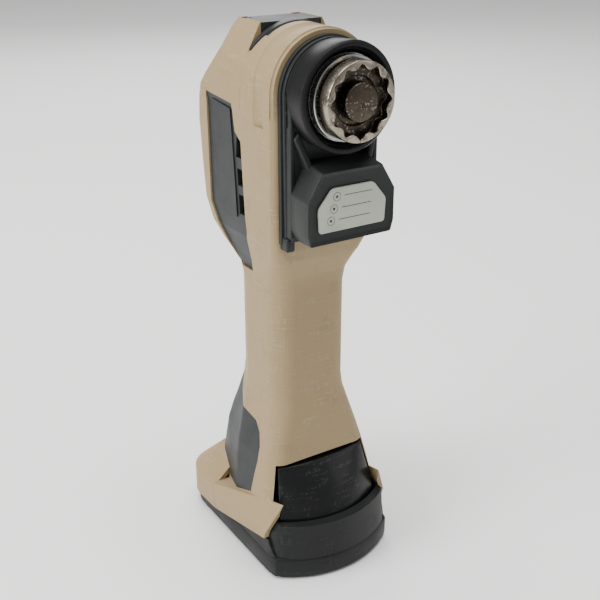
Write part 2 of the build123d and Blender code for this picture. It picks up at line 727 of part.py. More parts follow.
with BuildPart() as rear_spindle_bearing:
    ring(spindle_plane(REAR_BEARING[1]), REAR_BEARING[2], SPINDLE_R + BEARING_CLEAR, 5.8)
finish(rear_spindle_bearing, "rear_spindle_bearing")

with BuildPart() as dust_ring:
    ring(spindle_plane(-49.3), 20.1, 9, 0.8)
finish(dust_ring, "dust_ring")

with BuildPart() as spindle_seal:
    ring(spindle_plane(-50.1), 18.4, 8, 1.9)
finish(spindle_seal, "spindle_seal")

# ---- motor -----------------------------------------------------------------
with BuildPart() as stator:
    with BuildSketch(motor_plane(STACK[0])) as lamination:
        Circle(STATOR_R)
        Circle(ROTOR_R + 0.5, mode=Mode.SUBTRACT)
        with PolarLocations(16, 12):
            Rectangle(5.5, 3.2, mode=Mode.SUBTRACT)
    extrude(lamination.sketch, amount=STACK[1] - STACK[0])
finish(stator, "stator")

with BuildPart() as stator_windings:
    ring(motor_plane(STACK[0] - 5.5), 20.5, 13, 5.5)
    ring(motor_plane(STACK[1]), 20.5, 13, 5.5)
    with BuildSketch(motor_plane(STACK[0])) as slots:
        with PolarLocations(16, 12):
            Rectangle(5.1, 2.8)
    extrude(slots.sketch, amount=STACK[1] - STACK[0])
finish(stator_windings, "stator_windings")

with BuildPart() as motor_end_bracket:
    ring(motor_plane(158), 18.5, 5, 9)
    disc(motor_plane(160), 9, 9, mode=Mode.SUBTRACT)
finish(motor_end_bracket, "motor_end_bracket")

with BuildPart() as sensor_board:
    ring(motor_plane(167.6), 19.5, 6, 1.4)
finish(sensor_board, "sensor_board")

with BuildPart() as motor_rear_bearing:
    ball_bearing(motor_plane(160), SHAFT_R + BEARING_CLEAR, 9, 5, 7)
finish(motor_rear_bearing, "motor_rear_bearing")

with BuildPart() as motor_front_bearing:
    ball_bearing(motor_plane(BEARING_SEAT_Z), SHAFT_R + BEARING_CLEAR, MOTOR_BEARING_R, 7, 7)
finish(motor_front_bearing, "motor_front_bearing")

with BuildPart() as rotor:
    ring(motor_plane(STACK[0] + 0.5), ROTOR_R, SHAFT_R, STACK[1] - STACK[0] - 1)
finish(rotor, "rotor")

eccentric_plane = Plane(origin=(0, MOTOR_Y - ECCENTRICITY, ARM_Z - 4))
with BuildPart() as motor_shaft:
    disc(motor_plane(159), SHAFT_R, 73)
    disc(eccentric_plane.offset(-2), 3.2, 10.4)
finish(motor_shaft, "motor_shaft")

with BuildPart() as eccentric_bearing:
    ball_bearing(eccentric_plane, 3.2, ECC_BEARING_R, 8, 7)
finish(eccentric_bearing, "eccentric_bearing")

with BuildPart() as balance_weight:
    ring(motor_plane(213.8), 10, SHAFT_R, 2.4)
    block((-20, 20), (MOTOR_Y - 20, MOTOR_Y - 5), (210, 220), mode=Mode.SUBTRACT)
finish(balance_weight, "balance_weight")

with BuildPart() as cooling_fan:
    ring(motor_plane(216.6), 20, SHAFT_R, 1.4)
    ring(motor_plane(218), 7, SHAFT_R, 4.8)
    with BuildSketch(motor_plane(218)) as blades:
        with PolarLocations(13, 11):
            Rectangle(13, 1.1, rotation=24)
    extrude(blades.sketch, amount=4.8)
finish(cooling_fan, "cooling_fan")

# ---- spindle, fork, tool holder, clamp --------------------------------------
with BuildPart() as spindle:
    disc(spindle_plane(SPINDLE_BACK), SPINDLE_R, SPINDLE_BACK - CUP_BACK)
    disc(spindle_plane(CUP_BACK + 1.6), 13, 1.6)
    disc(spindle_plane(SPINDLE_BACK), SPRING_BORE_R, SPINDLE_BACK + 2, mode=Mode.SUBTRACT)
    disc(spindle_plane(SPINDLE_BACK), BOLT_R + 0.05, 100, mode=Mode.SUBTRACT)
finish(spindle, "spindle")

FORK_Y = (-2.0, 10.0)
with BuildPart() as oscillating_fork:
    disc(spindle_plane(FORK_Y[1]), 11.5, FORK_Y[1] - FORK_Y[0])
    block((-14, 14), FORK_Y, (232.2, 252))
    block((-FORK_GAP, FORK_GAP), (-20, 20), (230, 243.6), mode=Mode.SUBTRACT)
    disc(spindle_plane(20), SPINDLE_R, 40, mode=Mode.SUBTRACT)
finish(oscillating_fork, "oscillating_fork")

with BuildPart() as spindle_ring:
    ring(spindle_plane(-52.4), 19.5, SPINDLE_R, 0.9)
finish(spindle_ring, "spindle_ring")

star = []
for corner in range(2 * STAR_POINTS):
    radius = STAR_OUT_R if corner % 2 == 0 else STAR_IN_R
    angle = radians(corner * 180 / STAR_POINTS)
    star.append((radius * cos(angle), radius * sin(angle)))
with BuildPart() as tool_holder:
    disc(spindle_plane(CUP_BACK), CUP_R, CUP_BACK - CUP_FRONT)
    with BuildSketch(spindle_plane(CUP_FLOOR)) as star_recess:
        with BuildLine():
            Polyline(*star, close=True)
        make_face()
    extrude(star_recess.sketch, amount=20, mode=Mode.SUBTRACT)
    disc(spindle_plane(CUP_FLOOR + 1), BOLT_HOLE_R, 20, mode=Mode.SUBTRACT)
    disc(spindle_plane(CUP_BACK), BOLT_R + 0.05, 20, mode=Mode.SUBTRACT)
    with BuildSketch(spindle_plane(CUP_FRONT + 5)) as rim_notches:
        with PolarLocations(CUP_R + 0.4, 2, start_angle=18):
            Rectangle(3.2, 3.0)
    extrude(rim_notches.sketch, amount=20, mode=Mode.SUBTRACT)
finish(tool_holder, "tool_holder")

with BuildPart() as clamp_bolt:
    disc(spindle_plane(CUP_FLOOR + 0.7), BOLT_HEAD_R, CUP_FLOOR + 0.7 - BOLT_FACE)
    chamfer(clamp_bolt.edges().sort_by(Axis.Y)[0], length=0.6)
    disc(spindle_plane(BOLT_BACK), BOLT_R, BOLT_BACK - CUP_FLOOR)
finish(clamp_bolt, "clamp_bolt")

with BuildPart() as clamp_nut:
    ring(spindle_plane(BOLT_BACK), 6.1, BOLT_R, 5.8)
finish(clamp_nut, "clamp_nut")

SPRING_TURNS = 8
with BuildPart() as clamp_spring:
    for turn in range(SPRING_TURNS):
        with Locations(spindle_plane(17.0 - turn * 2.5)):
            Torus(5.5, 0.65)
finish(clamp_spring, "clamp_spring")

with BuildPart() as clamp_lever:
    across(side_outline(-LEVER_ARM_HALF, LEVER_SIDE), 2 * LEVER_ARM_HALF)
    nose_side = [(-10, 279), (-10, 284.2), (LEVER_WIDE_BACK, 284.2), (LEVER_WIDE_FOOT, 279)]
    across(side_outline(-LEVER_HALF, nose_side), 2 * LEVER_HALF)
    hub_plane = side_plane(-LEVER_ARM_HALF)
    with BuildSketch(hub_plane) as hub:
        with Locations(LEVER_PIVOT):
            Circle(HUB_R)
    across(hub.sketch, 2 * LEVER_ARM_HALF)
    add(envelope(0.0), mode=Mode.INTERSECT)
    block((-CAM_HALF - JOIN, CAM_HALF + JOIN), (20, 50), (240, 264.5), mode=Mode.SUBTRACT)
    with BuildSketch(hub_plane) as bore:
        with Locations(LEVER_PIVOT):
            Circle(PIN_R + 0.05)
    across(bore.sketch, 40, mode=Mode.SUBTRACT)
finish(clamp_lever, "clamp_lever")

with BuildPart() as release_cam:
    with BuildSketch(side_plane(-CAM_HALF)) as cam:
        with Locations((LEVER_PIVOT[0], LEVER_PIVOT[1] - CAM_OFFSET)):
            Circle(CAM_R)
        with Locations(LEVER_PIVOT):
            Circle(PIN_R + 0.05, mode=Mode.SUBTRACT)
    across(cam.sketch, 2 * CAM_HALF)
finish(release_cam, "release_cam")

with BuildPart() as lever_pin:
    with BuildSketch(side_plane(-17)) as pin:
        with Locations(LEVER_PIVOT):
            Circle(PIN_R)
    across(pin.sketch, 34)
finish(lever_pin, "lever_pin")

with BuildPart() as housing_screws:
    for y, z, outside in HOUSING_SCREWS:
        head = Plane(origin=(outside - 0.8, y, z), z_dir=(-1, 0, 0))
        disc(head, SCREW_HEAD_R, 1.8)
        disc(head.offset(1.8), SCREW_R, 2 * outside - 8.5)
finish(housing_screws, "housing_screws")

# ---- battery ---------------------------------------------------------------
low_line = [(y, z - 1.0) for y, z in WING_LOW]
low_back = line_height(low_line, 21.5)
with BuildPart() as cell_form:
    for x, z in CELL_PLACES:
        disc(Plane(origin=(x, CELL_BACK + 0.2, z), z_dir=(0, -1, 0)), CELL_R + 0.15, CELL_LENGTH + 0.4)

band_rise = (BAND_BACK_Y + 5, line_height(low_line, BAND_BACK_Y + 5))
split_front = [(-60, BAND_Z), (BAND_BACK_Y, BAND_Z), band_rise]
split_back = [(21.5, low_back), (21.5, PACK_LOW_BACK), (60, PACK_LOW_BACK)]
low_side = [(-60, -1)] + split_front + split_back + [(60, -1)]
with BuildPart() as battery_case_lower:
    extrude(pack_outline(0, PACK_HALF, PACK_FRONT, PACK_BACK, 16, PACK_CORNER_R), amount=40)
    across(side_outline(-60, low_side), 120, mode=Mode.INTERSECT)
    chamfer(battery_case_lower.faces().sort_by(Axis.Z)[0].edges(), length=1.5)
    inner = pack_outline(
        PACK_WALL,
        PACK_HALF - PACK_WALL,
        PACK_FRONT + PACK_WALL,
        PACK_BACK - PACK_WALL,
        14,
        PACK_CORNER_R - PACK_WALL,
    )
    extrude(inner, amount=40, mode=Mode.SUBTRACT)
    for x, y in PACK_SCREWS:
        disc(Plane(origin=(x, y, 1.5)), 3.4, 4)
        disc(Plane(origin=(x, y, -1)), 3.0, 2.6, mode=Mode.SUBTRACT)
        disc(Plane(origin=(x, y, -1)), 1.6, 10, mode=Mode.SUBTRACT)
finish(battery_case_lower, "battery_case_lower")

with BuildPart() as battery_screws:
    for x, y in PACK_SCREWS:
        disc(Plane(origin=(x, y, 0.6)), 2.8, 1.0)
        disc(Plane(origin=(x, y, 1.6)), 1.5, 9)
finish(battery_screws, "battery_screws")


def mid_side(drop):
    """Side view of the pack's shoulders, its top lowered by drop."""
    top = [(y, z - drop) for y, z in PACK_SHOULDER]
    seam = [(y, z + JOIN - drop) for y, z in reversed(split_front)]
    return top + [(60, low_back + JOIN - drop), (21.5, low_back + JOIN - drop)] + seam


def nose_outline(z, half, middle_y, side_y, depth):
    """Plan of a band with an arched front, depth thick."""
    with BuildSketch(Plane.XY.offset(z)) as outline:
        with BuildLine():
            front = ThreePointArc((-half, side_y), (0, middle_y), (half, side_y))
            back = ThreePointArc((-half, side_y + depth), (0, middle_y + depth), (half, side_y + depth))
            Line(front @ 0, back @ 0)
            Line(front @ 1, back @ 1)
        make_face()
    return outline.sketch


def arched_block(inset):
    """The block behind the button, its front arched like the button, all faces moved in by inset."""
    rise = BUTTON_TOP_Z - BUTTON_LOW_Z
    low_z = BUTTON_LOW_Z - BUTTON_RUN * rise
    low_half = BUTTON_LOW_HALF + BUTTON_RUN * (BUTTON_LOW_HALF - BUTTON_TOP_HALF)
    low_y = [low + BUTTON_RUN * (low - top) for low, top in zip(BUTTON_LOW_Y, BUTTON_TOP_Y)]
    back = BUTTON_THICK + BUTTON_BEHIND + inset
    low = nose_outline(low_z, low_half, low_y[0] + back, low_y[1] + back, 90)
    top = nose_outline(BUTTON_TOP_Z, BUTTON_TOP_HALF, BUTTON_TOP_Y[0] + back, BUTTON_TOP_Y[1] + back, 90)
    with BuildPart() as arched:
        loft([low, top], ruled=True)
        top_half = 24.4 - inset
        low_half = 28.4 - inset
        height = BLOCK_TOP - inset
        view = [
            (-top_half, height),
            (top_half, height),
            (low_half, 36),
            (low_half, 24.5 - inset),
            (-low_half, 24.5 - inset),
            (-low_half, 36),
        ]
        rearwards(front_outline(-90, view), 90 + BLOCK_STEP_Y - inset, mode=Mode.INTERSECT)
    return arched.part




def shoulder_block(inset, drop):
    """The pack above its seam, its front leaning back, all walls moved in by inset."""
    half = PACK_MID_HALF - inset
    back = PACK_BACK - 1 - inset
    with BuildPart() as shoulder:
        low_plan = pack_outline(0, half, PACK_FRONT - PACK_LEAN + inset, back, 15 - inset, 11 - inset)
        high_front = PACK_FRONT + 2 * PACK_LEAN + inset
        high_plan = pack_outline(2 * PACK_LIP_Z, half, high_front, back, 15 - inset, 11 - inset)
        loft([low_plan, high_plan], ruled=True)
        across(side_outline(-60, mid_side(drop)), 120, mode=Mode.INTERSECT)
        rearwards(lean_outline(-90, half), 180, mode=Mode.INTERSECT)
    return shoulder.part


with BuildPart() as battery_case_upper:
    add(shoulder_block(0.0, 0.0))
    add(arched_block(0.0))
    block((-BLOCK_REAR_HALF, BLOCK_REAR_HALF), (BLOCK_STEP_Y - 1, 31), (16, BLOCK_REAR_TOP))
    add(shoulder_block(PACK_WALL, PACK_WALL), mode=Mode.SUBTRACT)
    add(arched_block(PACK_WALL), mode=Mode.SUBTRACT)
    block(
        (-BLOCK_REAR_HALF + PACK_WALL, BLOCK_REAR_HALF - PACK_WALL),
        (BLOCK_STEP_Y - PACK_WALL - 1, 31 - PACK_WALL),
        (10, BLOCK_REAR_TOP - PACK_WALL),
        mode=Mode.SUBTRACT,
    )
    # pocket that the button's lower edge slides in
    extrude(nose_outline(27.5, 32.0, -50.8, -40.2, 7.4), amount=6.5, mode=Mode.SUBTRACT)
    # window for the button's spring, and the bar that the spring stands on
    block((-7, 7), (-52, -31), (38.4, 50), mode=Mode.SUBTRACT)
    block((-12, 12), (-39.4, -34.6), (36.9, 38.4))
    for x in TERMINAL_X:
        block((x - 2.2, x + 2.2), (4, 40), (39.6, 50), mode=Mode.SUBTRACT)
    add(cell_form.part, mode=Mode.SUBTRACT)
finish(battery_case_upper, "battery_case_upper")

with BuildPart() as battery_button:
    low_edge = nose_outline(BUTTON_LOW_Z, BUTTON_LOW_HALF, *BUTTON_LOW_Y, BUTTON_THICK)
    top_edge = nose_outline(BUTTON_TOP_Z, BUTTON_TOP_HALF, *BUTTON_TOP_Y, BUTTON_THICK)
    loft([low_edge, top_edge], ruled=True)
    block((-5, 5), (-41, -34.6), (45.3, 47.5))
finish(battery_button, "battery_button")

with BuildPart() as button_spring:
    for turn in range(5):
        with Locations((0, -37.0, 38.85 + turn * 1.5)):
            Torus(2.0, 0.4)
finish(button_spring, "button_spring")

with BuildPart() as battery_cells:
    for x, z in CELL_PLACES:
        disc(Plane(origin=(x, CELL_BACK, z), z_dir=(0, -1, 0)), CELL_R, CELL_LENGTH)
finish(battery_cells, "battery_cells")

with BuildPart() as cell_holder:
    block((-27.2, 27.2), (-30, 24), (PACK_WALL + 0.1, 9))
    add(cell_form.part, mode=Mode.SUBTRACT)
finish(cell_holder, "cell_holder")

with BuildPart() as battery_board:
    block((-15, 15), (-30, 28), (BOARD_Z, BOARD_Z + 1.4))
finish(battery_board, "battery_board")

with BuildPart() as battery_contacts:
    for x in TERMINAL_X:
        for side in (-1, 1):
            block((x + side * 1.3 - 0.3, x + side * 1.3 + 0.3), (6, 16), (BOARD_Z + 1.4, 43.4))
finish(battery_contacts, "battery_contacts")
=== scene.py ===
"""Looks of a cordless oscillating multi-tool that stands on its battery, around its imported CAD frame."""

import json
import logging
import math
from dataclasses import dataclass, field
from enum import Enum

import bmesh
import bpy
from mathutils import Matrix, Vector

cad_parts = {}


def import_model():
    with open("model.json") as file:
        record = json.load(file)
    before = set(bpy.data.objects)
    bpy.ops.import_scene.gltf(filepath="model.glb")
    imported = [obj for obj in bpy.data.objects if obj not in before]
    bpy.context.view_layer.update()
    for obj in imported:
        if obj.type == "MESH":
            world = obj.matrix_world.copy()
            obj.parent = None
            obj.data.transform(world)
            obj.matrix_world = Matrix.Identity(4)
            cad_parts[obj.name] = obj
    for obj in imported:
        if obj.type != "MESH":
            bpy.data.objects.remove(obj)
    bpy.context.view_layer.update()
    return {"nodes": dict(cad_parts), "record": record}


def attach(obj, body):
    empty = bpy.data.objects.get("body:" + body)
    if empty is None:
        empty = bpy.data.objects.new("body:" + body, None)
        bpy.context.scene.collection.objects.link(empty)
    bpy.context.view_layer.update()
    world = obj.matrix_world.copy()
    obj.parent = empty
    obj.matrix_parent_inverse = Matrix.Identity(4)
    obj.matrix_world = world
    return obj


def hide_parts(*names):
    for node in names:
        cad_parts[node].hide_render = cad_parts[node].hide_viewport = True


LOG = logging.getLogger("multi_tool")
MM = 0.001
SPINDLE_Z = 255.7
MERGE = 0.004 * MM
SMOOTH_ANGLE = math.radians(32)
COAT_ROUGHNESS = 0.12
PLASTIC_SPECULAR = 0.2

Colour = tuple[float, float, float]


class Slot(Enum):
    """The record's material slots that new pieces take their finish from."""

    TAN = "housing_tan"
    BLACK = "cover_black"
    PANEL = "panel_grey"
    LABEL = "label"
    STEEL = "steel"
    HOLDER = "holder_steel"
    BATTERY = "battery_grey"
    GLOSS = "button_gloss"


class Body(Enum):
    """The moving groups that new pieces ride on."""

    HOUSING = "housing"
    SPINDLE = "spindle"
    CLAMP = "clamp"
    BATTERY = "battery"
    BUTTON = "button"
    LEVER = "lever"


# ---- shader sockets as numbers ------------------------------------------


class Wire:
    """An output socket that takes part in Python expressions."""

    def __init__(self, sheet: "Sheet", socket: bpy.types.NodeSocket) -> None:
        """Keeps the socket and the sheet that its maths nodes go on."""
        self.sheet = sheet
        self.socket = socket

    def _maths(self, operation: str, first: "Wire | float", second: "Wire | float") -> "Wire":
        """Adds one Math node.

        Args:
            operation: The Math node's operation.
            first: Its first value.
            second: Its second value.

        Returns:
            The node's result.
        """
        return self.sheet.node("ShaderNodeMath", {"operation": operation}, {0: first, 1: second})

    def __add__(self, other: "Wire | float") -> "Wire":
        """Sum."""
        return self._maths("ADD", self, other)

    __radd__ = __add__

    def __sub__(self, other: "Wire | float") -> "Wire":
        """Difference."""
        return self._maths("SUBTRACT", self, other)

    def __rsub__(self, other: "Wire | float") -> "Wire":
        """Difference, taken from a number."""
        return self._maths("SUBTRACT", other, self)

    def __mul__(self, other: "Wire | float") -> "Wire":
        """Product."""
        return self._maths("MULTIPLY", self, other)

    __rmul__ = __mul__


class Sheet:
    """One material's node tree, with a single way to add a node."""

    def __init__(self, name: str) -> None:
        """Starts a material with its Principled surface."""
        self.material = bpy.data.materials.new(name)
        self.material.use_nodes = True
        self.tree = self.material.node_tree
        self.surface = self.tree.nodes["Principled BSDF"]
        self.place = self.node("ShaderNodeTexCoord", {}, {}, "Object")

    def node(
        self,
        kind: str,
        settings: dict[str, object],
        inputs: dict[int | str, object],
        output: int | str = 0,
    ) -> Wire:
        """Adds a node.

        Args:
            kind: The node's type.
            settings: Attributes that are set first.
            inputs: Values or links of its sockets.
            output: The socket that is handed back.

        Returns:
            The chosen output.
        """
        made = self.tree.nodes.new(kind)
        for key, value in settings.items():
            setattr(made, key, value)
        for key, value in inputs.items():
            if isinstance(value, Wire):
                self.tree.links.new(value.socket, made.inputs[key])
            else:
                made.inputs[key].default_value = value
        return Wire(self, made.outputs[output])

    def noise(self, scale: float, detail: float = 3.0, stretch: Colour = (1.0, 1.0, 1.0)) -> Wire:
        """Noise on the object's own coordinates.

        Args:
            scale: Waves per metre.
            detail: Octaves.
            stretch: Scale along each axis before the noise.

        Returns:
            Values around one half.
        """
        moved = self.node("ShaderNodeMapping", {}, {"Vector": self.place, "Scale": stretch})
        return self.node("ShaderNodeTexNoise", {}, {"Vector": moved, "Scale": scale, "Detail": detail})

    def mask(self, value: Wire, low: float, high: float) -> Wire:
        """A soft step that is 0 below low and 1 above high.

        Args:
            value: What is compared.
            low: Where the step begins.
            high: Where the step ends.

        Returns:
            The mask.
        """
        inputs = {"Value": value, "From Min": low, "From Max": high}
        return self.node("ShaderNodeMapRange", {"interpolation_type": "SMOOTHSTEP"}, inputs)

    def blend(self, factor: Wire, first: "Wire | Colour", second: "Wire | Colour") -> Wire:
        """A mix of two colours.

        Args:
            factor: 0 gives the first, 1 the second.
            first: One colour.
            second: The other colour.

        Returns:
            The mixed colour.
        """
        sides = [side if isinstance(side, Wire) else (*side, 1.0) for side in (first, second)]
        inputs = {0: factor, 6: sides[0], 7: sides[1]}
        return self.node("ShaderNodeMix", {"data_type": "RGBA"}, inputs, 2)

    def bump(self, height: Wire, depth: float, strength: float = 1.0) -> None:
        """Gives the surface relief.

        Args:
            height: The relief, 0 to 1.
            depth: Its height in metres.
            strength: How strongly it shows.
        """
        relief = self.node("ShaderNodeBump", {}, {"Height": height, "Distance": depth, "Strength": strength})
        self.feed("Normal", relief)

    def feed(self, name: str, value: "Wire | float") -> None:
        """Links or sets one of the surface's inputs."""
        if isinstance(value, Wire):
            self.tree.links.new(value.socket, self.surface.inputs[name])
        else:
            self.surface.inputs[name].default_value = value


# ---- finishes -------------------------------------------------------------


def shade(colour: Colour, factor: float) -> Colour:
    """The colour made lighter or darker by a factor."""
    return tuple(min(1.0, channel * factor) for channel in colour)


@dataclass(frozen=True)
class Moulded:
    """Moulded plastic or rubber with spark-eroded grain, handling marks and scuffs."""

    name: str
    colour: Colour
    roughness: float = 0.5
    grain: float = 1400.0
    relief: float = 0.03
    mottle: float = 0.10
    scuffs: float = 0.25
    scuff_colour: Colour = (0.3, 0.29, 0.27)
    grime: float = 0.2
    coat: float = 0.0

    def material(self) -> bpy.types.Material:
        """Builds the finish.

        Returns:
            The material.
        """
        sheet = Sheet(self.name)
        broad = sheet.noise(22.0, 4.0)
        patch = sheet.noise(75.0, 3.0)
        fine = sheet.noise(self.grain, 2.0)
        tint = sheet.blend(broad, shade(self.colour, 1 - self.mottle), shade(self.colour, 1 + self.mottle))
        dirt = sheet.mask(patch, 0.52, 0.72) * self.grime
        tint = sheet.blend(dirt, tint, shade(self.colour, 0.62))
        strokes = sheet.noise(1100.0, 3.0, (1.0, 1.0, 0.1))
        crossed = sheet.noise(900.0, 3.0, (0.1, 0.1, 1.0))
        worn = sheet.mask(strokes * crossed * (0.35 + patch * 1.3), 0.3, 0.42) * self.scuffs
        tint = sheet.blend(worn, tint, self.scuff_colour)
        sheet.feed("Base Color", tint)
        sheet.feed("Roughness", self.roughness + (patch - 0.5) * 0.22 + (fine - 0.5) * 0.12 + worn * 0.2)
        sheet.feed("Coat Weight", self.coat)
        sheet.feed("Coat Roughness", COAT_ROUGHNESS)
        sheet.feed("Specular IOR Level", PLASTIC_SPECULAR)
        sheet.bump(fine * 0.8 + patch * 0.2 - worn * 0.3, self.relief * MM)
        return sheet.material


@dataclass(frozen=True)
class Metal:
    """Machined or cast metal with tool marks, stains and small dents."""

    name: str
    colour: Colour
    roughness: float = 0.3
    stain: Colour = (0.12, 0.09, 0.07)
    stained: float = 0.35
    marks: Colour = (1.0, 0.12, 1.0)
    relief: float = 0.01
    bright: float = 0.0

    def material(self) -> bpy.types.Material:
        """Builds the finish.

        Returns:
            The material.
        """
        sheet = Sheet(self.name)
        broad = sheet.noise(160.0, 5.0)
        pits = sheet.noise(900.0, 3.0)
        lines = sheet.noise(2200.0, 2.0, self.marks)
        tint = sheet.blend(lines, shade(self.colour, 0.86), shade(self.colour, 1.1))
        tint = sheet.blend(sheet.mask(broad, 0.42, 0.66) * self.stained, tint, self.stain)
        chips = sheet.mask(pits * (0.5 + broad), 0.58, 0.66) * self.bright
        tint = sheet.blend(chips, tint, (0.75, 0.72, 0.68))
        sheet.feed("Base Color", tint)
        sheet.feed("Metallic", 1.0)
        sheet.feed("Roughness", self.roughness + (broad - 0.5) * 0.25 + (lines - 0.5) * 0.15)
        sheet.bump(lines * 0.5 + pits * 0.5, self.relief * MM)
        return sheet.material


@dataclass(frozen=True)
class Banded:
    """Wound wire, stacked laminations or circuit tracks: fine bands over a base colour."""

    name: str
    colour: Colour
    second: Colour
    pitch: float = 900.0
    direction: str = "Z"
    metallic: float = 0.0
    roughness: float = 0.4
    relief: float = 0.15

    def material(self) -> bpy.types.Material:
        """Builds the finish.

        Returns:
            The material.
        """
        sheet = Sheet(self.name)
        settings = {"wave_type": "BANDS", "bands_direction": self.direction}
        inputs = {"Vector": sheet.place, "Scale": self.pitch, "Distortion": 0.6, "Detail": 2.0}
        bands = sheet.node("ShaderNodeTexWave", settings, inputs, "Fac")
        broad = sheet.noise(120.0, 3.0)
        sheet.feed("Base Color", sheet.blend(bands * 0.7 + broad * 0.3, self.colour, self.second))
        sheet.feed("Metallic", self.metallic)
        sheet.feed("Roughness", self.roughness + (broad - 0.5) * 0.2)
        sheet.bump(bands, self.relief * MM)
        return sheet.material


TAN = (0.312, 0.231, 0.124)
FINISHES: dict[str, Moulded | Metal | Banded] = {
    "housing_tan": Moulded("tan_housing", TAN, 0.56, 1500, 0.035, 0.05, 0.22, (0.5, 0.44, 0.36), 0.22),
    "cover_black": Moulded(
        "black_cover", (0.016, 0.0185, 0.0175), 0.4, 1300, 0.03, 0.2, 0.12, (0.05, 0.05, 0.05)
    ),
    "grip_grey": Moulded(
        "dark_grip", (0.021, 0.024, 0.024), 0.48, 1100, 0.04, 0.18, 0.12, (0.07, 0.07, 0.07)
    ),
    "panel_grey": Moulded(
        "grey_panel", (0.022, 0.025, 0.0245), 0.46, 1400, 0.03, 0.12, 0.12, (0.09, 0.09, 0.09)
    ),
    "switch_black": Moulded("black_switch", (0.025, 0.025, 0.026), 0.45),
    "label": Moulded("pale_label", (0.40, 0.42, 0.36), 0.38, 2600, 0.004, 0.05, 0.2, (0.3, 0.3, 0.27), 0.25),
    "cast_alloy": Metal("cast_alloy", (0.55, 0.55, 0.56), 0.5, (0.3, 0.3, 0.3), 0.3, (1, 1, 1), 0.05),
    "steel": Metal("ground_steel", (0.5, 0.5, 0.5), 0.28, (0.1, 0.09, 0.08), 0.4),
    "holder_steel": Metal("holder_steel", (0.07, 0.058, 0.043), 0.4, (0.03, 0.022, 0.017), 0.75, bright=0.18),
    "screw_black": Metal("black_screw", (0.05, 0.05, 0.055), 0.4, (0.2, 0.2, 0.2), 0.2),
    "lamination": Banded("lamination", (0.1, 0.1, 0.11), (0.25, 0.25, 0.26), 700, "Z", 0.8, 0.45),
    "copper": Banded("copper_wire", (0.5, 0.2, 0.08), (0.75, 0.38, 0.2), 500, "DIAGONAL", 0.9, 0.3),
    "fan_plastic": Moulded("fan_plastic", (0.04, 0.04, 0.042), 0.5),
    "circuit_board": Banded(
        "circuit_board", (0.01, 0.08, 0.035), (0.02, 0.16, 0.07), 180, "X", 0.0, 0.35, 0.05
    ),
    "wire_sleeve": Moulded("wire_sleeve", (0.35, 0.03, 0.02), 0.4),
    "battery_grey": Moulded(
        "battery_case", (0.009, 0.0105, 0.0098), 0.5, 1200, 0.04, 0.2, 0.2, (0.06, 0.062, 0.06), 0.3
    ),
    "button_gloss": Moulded(
        "gloss_button", (0.006, 0.007, 0.0065), 0.36, 1500, 0.012, 0.25, 0.28, (0.06, 0.062, 0.06), 0.2, 0.12
    ),
    "cell_sleeve": Moulded("cell_sleeve", (0.05, 0.16, 0.26), 0.3, coat=0.4),
    "holder_plastic": Moulded("holder_plastic", (0.09, 0.09, 0.09), 0.55),
}
EXTRA: dict[str, Moulded | Metal] = {
    "bright_rim": Metal("bright_rim", (0.3, 0.265, 0.21), 0.3, (0.09, 0.068, 0.05), 0.85, bright=0.35),
    "silver_ring": Metal("silver_ring", (0.42, 0.42, 0.4), 0.25, (0.1, 0.095, 0.09), 0.3),
    "collar": Moulded(
        "collar_black", (0.006, 0.006, 0.0065), 0.42, 1300, 0.03, 0.25, 0.1, (0.04, 0.04, 0.04)
    ),
    "print": Moulded("label_print", (0.04, 0.04, 0.04), 0.5, 2000, 0.003),
    # Near-black matte finish for the blocks in the cover's side grooves: painted groove shade.
    "gap": Moulded("dark_gap", (0.004, 0.004, 0.004), 0.8),
}


class Paintbox:
    """Makes each finish once and hands it out by name."""

    def __init__(self) -> None:
        """Starts with no finish made."""
        self.made: dict[str, bpy.types.Material] = {}

    def get(self, name: str) -> bpy.types.Material:
        """The material of a finish.

        Args:
            name: A slot of the record, or one of the extra finishes.

        Returns:
            Its material.
        """
        if name not in self.made:
            self.made[name] = {**FINISHES, **EXTRA}[name].material()
        return self.made[name]


# ---- meshes in the making --------------------------------------------------


